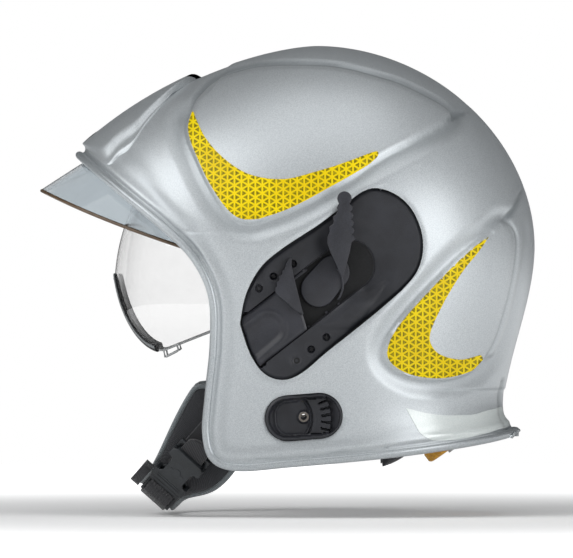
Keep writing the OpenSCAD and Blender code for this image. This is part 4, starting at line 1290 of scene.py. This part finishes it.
def make_visors():
    points, faces = two_skins(shield_grid(60, 140, 2.0), shield_grid(60, 140, 0.0))
    make("face_shield_sheet", points, faces, SHIELD, "face_shield", ["face_shield"], 50)
    edge = shield_grid(60, 140, 1.0)
    tube("face_shield_edge", edge[-1], 1.12, SHIELD_EDGE, "face_shield")
    points, faces = two_skins(eye_grid(60, 160, 2.2), eye_grid(60, 160, 0.0))
    make("eye_lens_sheet", points, faces, LENS, "eye_visor", ["eye_lens"], 50)
    low = eye_grid(0, 110, 1.1, 0.46, [0.0, 0.955, 1.0])
    up = unit(low[1] - low[2])
    out = unit(eye_grid(0, 110, -1, 0.46, [1.0])[0] - eye_grid(0, 110, 3, 0.46, [1.0])[0])
    channel = [(-2.0, 3.2), (-1.9, -0.5), (-1.1, -1.3), (1.1, -1.3), (1.9, -0.5), (2.0, 3.2), (1.25, 3.4),
               (-1.25, 3.4)]
    lip = [(1.7, 0.9), (2.2, 1.3), (2.2, 2.9), (1.7, 3.3)]
    for name, profile, material, replaced in (("rubber_channel", channel, RUBBER, ["eye_rubber"]),
                                              ("rubber_outer_lip", lip, GREY_RUBBER, ())):
        points, faces = swept(np.stack([low[2] + out * a + up * b for a, b in profile], 1), False)
        make(name, points, faces, material, "eye_visor", replaced, 40)


# ---- chin strap ----
STRAP_AT = np.array([-46.0, 0.0, -62.0])
SLOPE = math.radians(131.4)
STRAP_X = np.array([math.cos(SLOPE), 0, -math.sin(SLOPE)])
STRAP_Y = np.array([0.0, 1.0, 0.0])
STRAP_Z = np.array([math.sin(SLOPE), 0, math.cos(SLOPE)])
STRAP_HALF = [(0, -91), (35, -90), (65, -84.5), (85, -76.5), (100, -65), (111, -47), (117, -24)]
STRAP_LINE = STRAP_HALF + [(118.5, 0)] + [(x, -y) for x, y in reversed(STRAP_HALF)]


def in_strap(x, y, z):
    x, y, z = np.broadcast_arrays(x, y, z)
    return (STRAP_AT + x[..., None] * STRAP_X + np.asarray(y)[..., None] * STRAP_Y
            + np.asarray(z)[..., None] * STRAP_Z)


def strap_path(t, d):
    """Places on the strap's line and its offset by d, with the line's outward direction."""
    p = curve_at(STRAP_LINE, t)
    run = unit(np.gradient(p, axis=0))
    out = np.stack([run[:, 1], -run[:, 0]], -1)
    return p + out * d, out


WEB_THICK, WEB_HALF = 1.8, 10.0


def strap_band(title, start, stop, rows, replaces):
    """Webbing swept along the strap's line with a rounded cross-section."""
    low, out = strap_path(np.linspace(start, stop, rows), 0.0)
    r = 0.5 * WEB_THICK
    profile = []
    for a, b, first in ((0, 0, 180), (1, 0, 270), (1, 1, 0), (0, 1, 90)):
        for k in range(4):
            turn = math.radians(first + 30 * k)
            profile.append((mix(-WEB_HALF + r, WEB_HALF - r, a) + r * math.cos(turn),
                            mix(r, WEB_THICK - r, b) + r * math.sin(turn)))
    rings = []
    for w, h in profile:
        spot = low + out * h
        rings.append(in_strap(spot[:, 0], spot[:, 1], w * np.ones(rows)))
    points, faces = swept(np.stack(rings, 1), False)
    make(title, points, faces, WEBBING, "chin_strap", replaces, 50)


def prism_faces(n):
    """Faces of a prism whose two ends are loops of n points."""
    sides = [(i, n + i, n + (i + 1) % n, (i + 1) % n) for i in range(n)]
    return [tuple(range(n)), tuple(range(2 * n - 1, n - 1, -1)), *sides]


def end_disc(y0, y1, r):
    ring = arc((0, 0), r, 0, 352, 40)
    a, b = in_strap(ring[:, 0], y0, ring[:, 1]), in_strap(ring[:, 0], y1, ring[:, 1])
    return np.concatenate([a, b]), prism_faces(len(ring))


def make_webbing():
    strap_band("side_webbing", 0.002, 0.2, 40, ["side_strap_left"])
    for k, (y0, y1) in enumerate(((-91.0, -92.8), (91.0, 92.8))):
        points, faces = end_disc(y0, y1, WEB_HALF)
        make(f"webbing_end_{k}", points, faces, WEBBING, "chin_strap")
    strap_band("chin_webbing_band", 0.365, 0.998, 160, ["chin_webbing"])


def pad_width(s):
    """Distance of the chin pad's front and rear edges from the strap's line, by distance down the strap."""
    front = np.interp(s, [22, 30, 37, 46, 56, 68, 80, 92, 102, 125],
                      [23, 26.6, 28, 27.4, 25.6, 22.6, 19.2, 15.5, 13, 12.6])
    rear = np.interp(s, [22, 30, 42, 57, 72, 82, 89, 96, 103, 125],
                     [10, 16, 22, 24.2, 26, 25.6, 23.6, 18.5, 13.5, 12.6])
    return front, rear


def make_chin_pad():
    rows, cols = 150, 26
    t = np.linspace(0.075, 0.925, rows)
    low, _ = strap_path(t, -7.2)
    high, _ = strap_path(t, -0.55)
    s = np.linspace(0, 1, rows)
    round_end = np.sqrt(unit01(1 - np.maximum(0, (0.03 - np.minimum(s, 1 - s)) / 0.03) ** 2 * 0.8))
    fore, aft = (np.convolve(np.pad(e, 4, "edge"), np.ones(9) / 9, "valid") * round_end
                 for e in pad_width((low[:, 0] + high[:, 0]) / 2))
    v = np.linspace(-1, 1, cols)
    across = np.where(v < 0, v * fore[:, None], v * aft[:, None])
    tip = smooth(np.minimum(s, 1 - s) / 0.03)[:, None]
    puff = (1 - np.abs(v) ** 4)[None, :] ** 0.5 * (0.35 + 0.65 * tip)
    quilt = 1 - 0.30 * bump(np.abs(v) - 0.62, 0.05)[None, :] * tip
    middle = (low + high) / 2
    half = (high - low) / 2
    grids = []
    for sign, soft in ((1, 0.85), (-1, 1.0)):
        p = middle[:, None] + half[:, None] * (sign * puff * (soft if sign > 0 else quilt))[..., None]
        grids.append(in_strap(p[..., 0], p[..., 1], across))
    points, faces = two_skins(*grids)
    piece = make("chin_pad_cushion", points, faces, PAD_CLOTH, "chin_strap", ["chin_pad"], 60)
    for k, reach in enumerate((-fore - 0.2, aft + 0.2)):
        p = middle + half * 0.1
        tube(f"pad_binding_{k}", in_strap(p[:, 0], p[:, 1], reach), 1.7, BINDING, "chin_strap",
             sides=12)


# ---- buckle ----
BUCKLE_AT = in_strap(88.5, -74.6, 0.0)
BUCKLE_TURN = math.radians(34)
BUCKLE_X = math.cos(BUCKLE_TURN) * STRAP_X + math.sin(BUCKLE_TURN) * STRAP_Y
BUCKLE_Y = -math.sin(BUCKLE_TURN) * STRAP_X + math.cos(BUCKLE_TURN) * STRAP_Y


def in_buckle(p):
    p = np.asarray(p, float)
    return (BUCKLE_AT + p[..., :1] * BUCKLE_X + (p[..., 1:2] - 2.6) * BUCKLE_Y + p[..., 2:] * STRAP_Z)


def plate(title, outline, y0, y1, material, edge=0.5, body="chin_strap", replaces=()):
    """A slab in the buckle's axes: outline in (x, z), thickness from y0 to y1."""
    q = np.asarray(outline, float)
    n = len(q)
    a = in_buckle(np.stack([q[:, 0], np.full(n, y0), q[:, 1]], -1))
    b = in_buckle(np.stack([q[:, 0], np.full(n, y1), q[:, 1]], -1))
    piece = make(title, np.concatenate([a, b]), prism_faces(n), material, body, replaces)
    if edge:
        bevel(piece, edge)
    piece.data.set_sharp_from_angle(angle=math.radians(40))
    return piece


def rounded(x0, x1, z0, z1, r, count=7):
    parts = [arc((x1 - r, z1 - r), r, 0, 90, count), arc((x0 + r, z1 - r), r, 90, 180, count),
             arc((x0 + r, z0 + r), r, 180, 270, count), arc((x1 - r, z0 + r), r, 270, 360, count)]
    return np.concatenate(parts)


def make_buckle():
    # The face has a side window for each prong: its outline is waisted there
    face = [(-15, -9.5), (-13, -12), (-9, -12.9), (-7.6, -12.4), (-7.2, -9.4), (-5.2, -8.2), (4.6, -8.2),
            (6.4, -9.6), (6.8, -12.4), (9, -13), (12.2, -13), (13, -12)]
    face = face + [(x, -z) for x, z in reversed(face)]

    def part(title, outline, y0, y1, edge):
        return plate(title, outline, y0, y1, BUCKLE, edge=edge)

    def bar(title, x0, x1, z0, z1, r, y0, y1, edge):
        return part(title, rounded(x0, x1, *sorted((z0, z1)), r), y0, y1, edge)

    pieces = [part("buckle_face", face, -8.6, -7.0, 0.7), part("buckle_back", face, -1.8, 0.0, 0.6)]
    for z in (-1, 1):
        pieces.append(bar(f"wall_front_{z}", 6.6, 13, z * 9.8, z * 12.9, 0.8, -7.6, -1.2, 0.4))
        pieces.append(bar(f"wall_rear_{z}", -13.5, -7.4, z * 9.6, z * 12.6, 0.8, -7.6, -1.2, 0.4))
    pieces.append(bar("closed_end", -15, -9.2, -9.8, 9.8, 1.2, -7.6, -1.2, 0.4))
    pieces.append(bar("strap_bar_end", -20, -17.9, -12, 12, 1.0, -4.0, -1.5, 0.6))
    for z in (-1, 1):
        pieces.append(bar(f"strap_bar_{z}", -19, -13.5, z * 10.0, z * 12, 0.6, -4.0, -1.5, 0.4))
    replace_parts(join("buckle_shell", pieces), "buckle_body")
    plate("buckle_tongue", np.concatenate([arc((-19, 0), 9.2, 115, 245, 20), [(-13.4, -8.6), (-13.4, 8.6)]]),
          -5.4, -2.6, WEBBING, 0.7)
    # A raised ring and bar: a plain mark in place of any real one
    join("buckle_mark", [part("ring", arc((0, 0), 3.1, 0, 352, 40), -8.95, -8.2, 0.2),
                         bar("bar", -1.0, 1.0, -5.6, 5.6, 0.9, -8.85, -8.2, 0.15)])
    for k, (x0, x1) in enumerate(((8.6, 9.4), (10.2, 11.0))):
        bar(f"grip_line_{k}", x0, x1, -9.5, 9.5, 0.35, -8.9, -8.2, 0.15)

    pieces = [bar("insert_tab", -4, 14, -2.1, 2.1, 0.8, -5.6, -3.2, 0.4),
              bar("insert_head", 13.4, 16.6, -11.5, 11.5, 1.0, -7.6, -0.6, 0.6)]
    for z in (-10.5, 10.5):
        pieces.append(bar(f"insert_side_{z}", 15.5, 29, z - 1, z + 1, 0.6, -5.6, -2.6, 0.4))
    pieces.append(bar("insert_bar", 26.5, 29, -11.5, 11.5, 0.9, -5.8, -2.4, 0.6))
    pieces.append(bar("insert_middle", 20, 22.5, -10, 10, 0.9, -5.6, -2.6, 0.5))
    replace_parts(join("insert_frame", pieces), "buckle_insert")


def make_webbing_loops():
    # The webbing laps over the frame's middle bar, ribbed across its width
    rows = 90
    turns = [(16.9, -5.0), (18.2, -8.6), (19.5, -9.6), (22.5, -9.7), (25, -9.1), (26.2, -7.2), (26.4, -6.2)]
    path = curve_at(turns, np.linspace(0, 1, rows))
    v = np.linspace(-9.2, 9.2, 40)
    run = unit(np.gradient(path, axis=0))
    out = np.stack([run[:, 1], -run[:, 0]], -1)
    grids = []
    for lift in (0.75, -0.75):
        p = path[:, None] + out[:, None] * (lift + 0.22 * np.sin(v * 2.9)[None, :] * np.sign(lift))[..., None]
        width = np.broadcast_to(v[None, :, None], p.shape[:2] + (1,))
        grids.append(in_buckle(np.concatenate([p, width], -1)))
    points, faces = two_skins(*grids)
    make("adjusting_webbing", points, faces, WEBBING, "chin_strap", ["webbing_loops"], 60)
    # The free end runs back over two keepers beside the frame
    path = curve_at([(14.2, -1.4), (14.4, -4.8), (17.5, -7.2), (22.0, -7.5), (26.6, -6.6), (29.6, -3.4),
                     (29.8, 0.8), (27.2, 3.4), (20.5, 3.6), (15.6, 2.4), (14.2, -0.6)],
                    np.linspace(0, 1, rows))
    run = unit(np.gradient(path, axis=0))
    out = np.stack([run[:, 1], -run[:, 0]], -1)
    rings = []
    for z, lift in ((-19.8, 0.8), (-19.8, -0.8), (-13.4, -0.8), (-13.4, 0.8)):
        p = path + out * lift
        rings.append(in_buckle(np.stack([p[:, 0], p[:, 1], np.full(rows, z)], -1)))
    points, faces = swept(np.stack(rings, 1), True)
    make("webbing_keeper", points, faces, WEBBING, "chin_strap", (), 60)


# ---- nape ----


def nape_point(a, out, z):
    return np.stack([12 + (38 + out) * np.cos(a), (62 + out) * np.sin(a), z * np.ones_like(a)], -1)


def make_nape_pad():
    rows, cols = 120, 30
    a = np.radians(np.linspace(-70, 70, rows))[:, None]
    v = np.linspace(0, 1, cols)[None, :]
    low = -117 - 14 * np.sin(a) ** 2
    z = mix(low, -86.0, v)
    edge = np.minimum(v, 1 - v)
    tip = smooth((1 - np.abs(np.degrees(a)) / 70) / 0.07)
    puff = np.sqrt(unit01(1 - (1 - np.minimum(1, edge / 0.22)) ** 2)) * (0.15 + 0.85 * np.sqrt(tip))
    quilt = 1 - 0.28 * bump(edge - 0.26, 0.035) * tip
    seam = 1 - 0.22 * bump(np.abs(np.degrees(a)) - 34, 1.6)
    inner = -7.0 + 3.3 * (1 - puff * quilt * seam)
    outer = -0.4 - 3.0 * (1 - puff)
    grids = [nape_point(a * np.ones_like(v), outer, z), nape_point(a * np.ones_like(v), inner, z)]
    points, faces = two_skins(*grids)
    piece = make("nape_cushion", points, faces, PAD_CLOTH, "nape", ["nape_pad"], 60)


def make_knob():
    turn = math.radians(144)
    place = np.array([69.0, 0.0, -118.0])
    bx = np.array([math.cos(turn), 0, -math.sin(turn)])
    bz = np.array([math.sin(turn), 0, math.cos(turn)])
    rows = [(-0.2, 14.2), (0.0, 15.4), (0.6, 16.3), (1.4, 16.9), (6.2, 17.0), (7.2, 16.4), (7.8, 15.2),
            (8.0, 13.6), (8.0, 10.6), (7.2, 9.6), (7.1, 6.0), (7.1, 2.0), (7.1, 0.4)]
    a = np.linspace(0, 2 * math.pi, 216, endpoint=False)
    rings = []
    for h, r in rows:
        grip = smooth((r - 12) / 3.5)
        wave = 0.75 * np.maximum(0, np.cos(18 * a + math.pi)) ** 0.8 * grip
        rr = r - wave
        rings.append(place + np.outer(rr * np.cos(a), bx) + np.outer(rr * np.sin(a), STRAP_Y) + (-h) * bz)
    points, faces = swept(np.stack(rings, 0), False)
    make("orange_knob", points, faces, ORANGE, "knob", ["ratchet_knob"], 45)


# ---- lining ----


def egg(turn, tip, grow):
    return np.stack(np.broadcast_arrays(8 - (98 + grow) * np.cos(turn) * np.sin(tip),
                                        -(78 + grow) * np.sin(turn) * np.sin(tip),
                                        5 + (92 + grow) * np.cos(tip)), -1)


def cap_tip(turn):
    return np.radians(77 + 27 * smooth((1 - np.cos(turn)) / 2) - 2 * np.sin(turn))


def make_lining():
    rows, cols = 70, 180
    turn = np.linspace(0, 2 * math.pi, cols + 1)[None, :]
    share = np.linspace(0.01, 0.66, rows)[:, None]
    tip = cap_tip(turn) * share
    rib = 0.35 * np.cos(turn * 8) ** 8
    edge = smooth((0.66 - share) / 0.012)
    front, back = egg(turn, tip, -0.9), egg(turn, tip, -2.9 - rib * edge + 0.6 * (1 - edge))
    points, faces = two_skins(front, back)
    piece = make("comfort_net", points, faces, TEXTILE, "shell", ["comfort_cap"], 60)

    z = np.linspace(13.4, 32.6, 26)[:, None]
    reach = np.radians(52)
    t = np.linspace(-reach, reach, 120)[None, :]
    tip = np.arccos((z - 5) / 92)
    soft = np.sqrt(unit01(1 - (np.abs(z - 23) / 9.7) ** 6))
    soft = soft * np.sqrt(unit01(1 - (np.abs(t) / (reach + 0.01)) ** 40))
    front, back = egg(t, tip, -8.9), egg(t, tip, -9.6 - 2.1 * soft)
    points, faces = two_skins(front, back)
    piece = make("brow_band", points, faces, LEATHER, "shell", ["sweatband"], 60)

    outline = np.concatenate([arc((1, -50), 30.8, 0, 180, 50), [(-29.8, -60)],
                              arc((-21.8, -86.6), 8, 180, 270, 12), arc((23.8, -86.6), 8, 270, 360, 12),
                              [(31.8, -60)]])

    def height(x, z):
        p = np.stack([x, z], -1)
        edge = signed(p, outline)
        rounding = 1 - np.sqrt(unit01(1 - (1 - np.minimum(1, edge / 5.0)) ** 2))
        return 79.4 + 3.4 * rounding + 0.9 * bump(edge - 7.5, 0.9)

    for piece in height_solid(("shell", "ear_pad"), outline, [], height, 87.8, PAD_CLOTH,
                              ["side_pads"], 1.5, [], 60):
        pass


# ---- small fittings of the visor ----


def make_small_fittings():
    """Clear clips at the lens's lower corners and the polished line of its free edge, drawn as grey tubes:
    painted shade for the dark look of clear edges.
    """
    f = np.linspace(0.47, 1.0, 60)
    for side, word in ((1, "left"), (-1, "right")):
        every = eye_grid(0, 241, 1.1, 1.0, [1.0])[0]
        picks = np.interp(f, np.linspace(0, 1, 121), np.arange(120, -1, -1))
        line = np.stack([np.interp(picks, np.arange(241), every[:, k]) for k in range(3)], -1)
        tube(f"lens_edge_{word}", mirrored(line, side), 0.75, LENS_EDGE, "eye_visor")
        a = line[3:14]
        drop = np.linspace(0, 1, len(a))[:, None]
        low = a + np.array([1.0, 0, -4.6]) + np.array([0, 0, 1.0]) * drop
        edge = np.concatenate([a, low[::-1]])
        tube(f"lens_clip_{word}", mirrored(edge, side), 0.7, LENS_EDGE, "eye_visor",
             closed=True)


make_camera()
studio()
make_shell()
make_rim()
make_front_plate()
for node, (outer, inner) in FILMS.items():
    make_film(node, node, outer, inner, YELLOW, "yellow_sticker", 0.35)
make_film("rear_strip", "rear_strip", *STRIP, PALE, "pale_sticker", 0.3)
make_housing()
both_sides(make_shield_lever)
make_eye_lever()
make_port()
make_visors()
make_small_fittings()
make_webbing()
make_chin_pad()
make_buckle()
make_webbing_loops()
make_nape_pad()
make_knob()
make_lining()
make_floor(cad_box[0][2] - 0.002)
bpy.context.scene.view_settings.view_transform = "Standard"
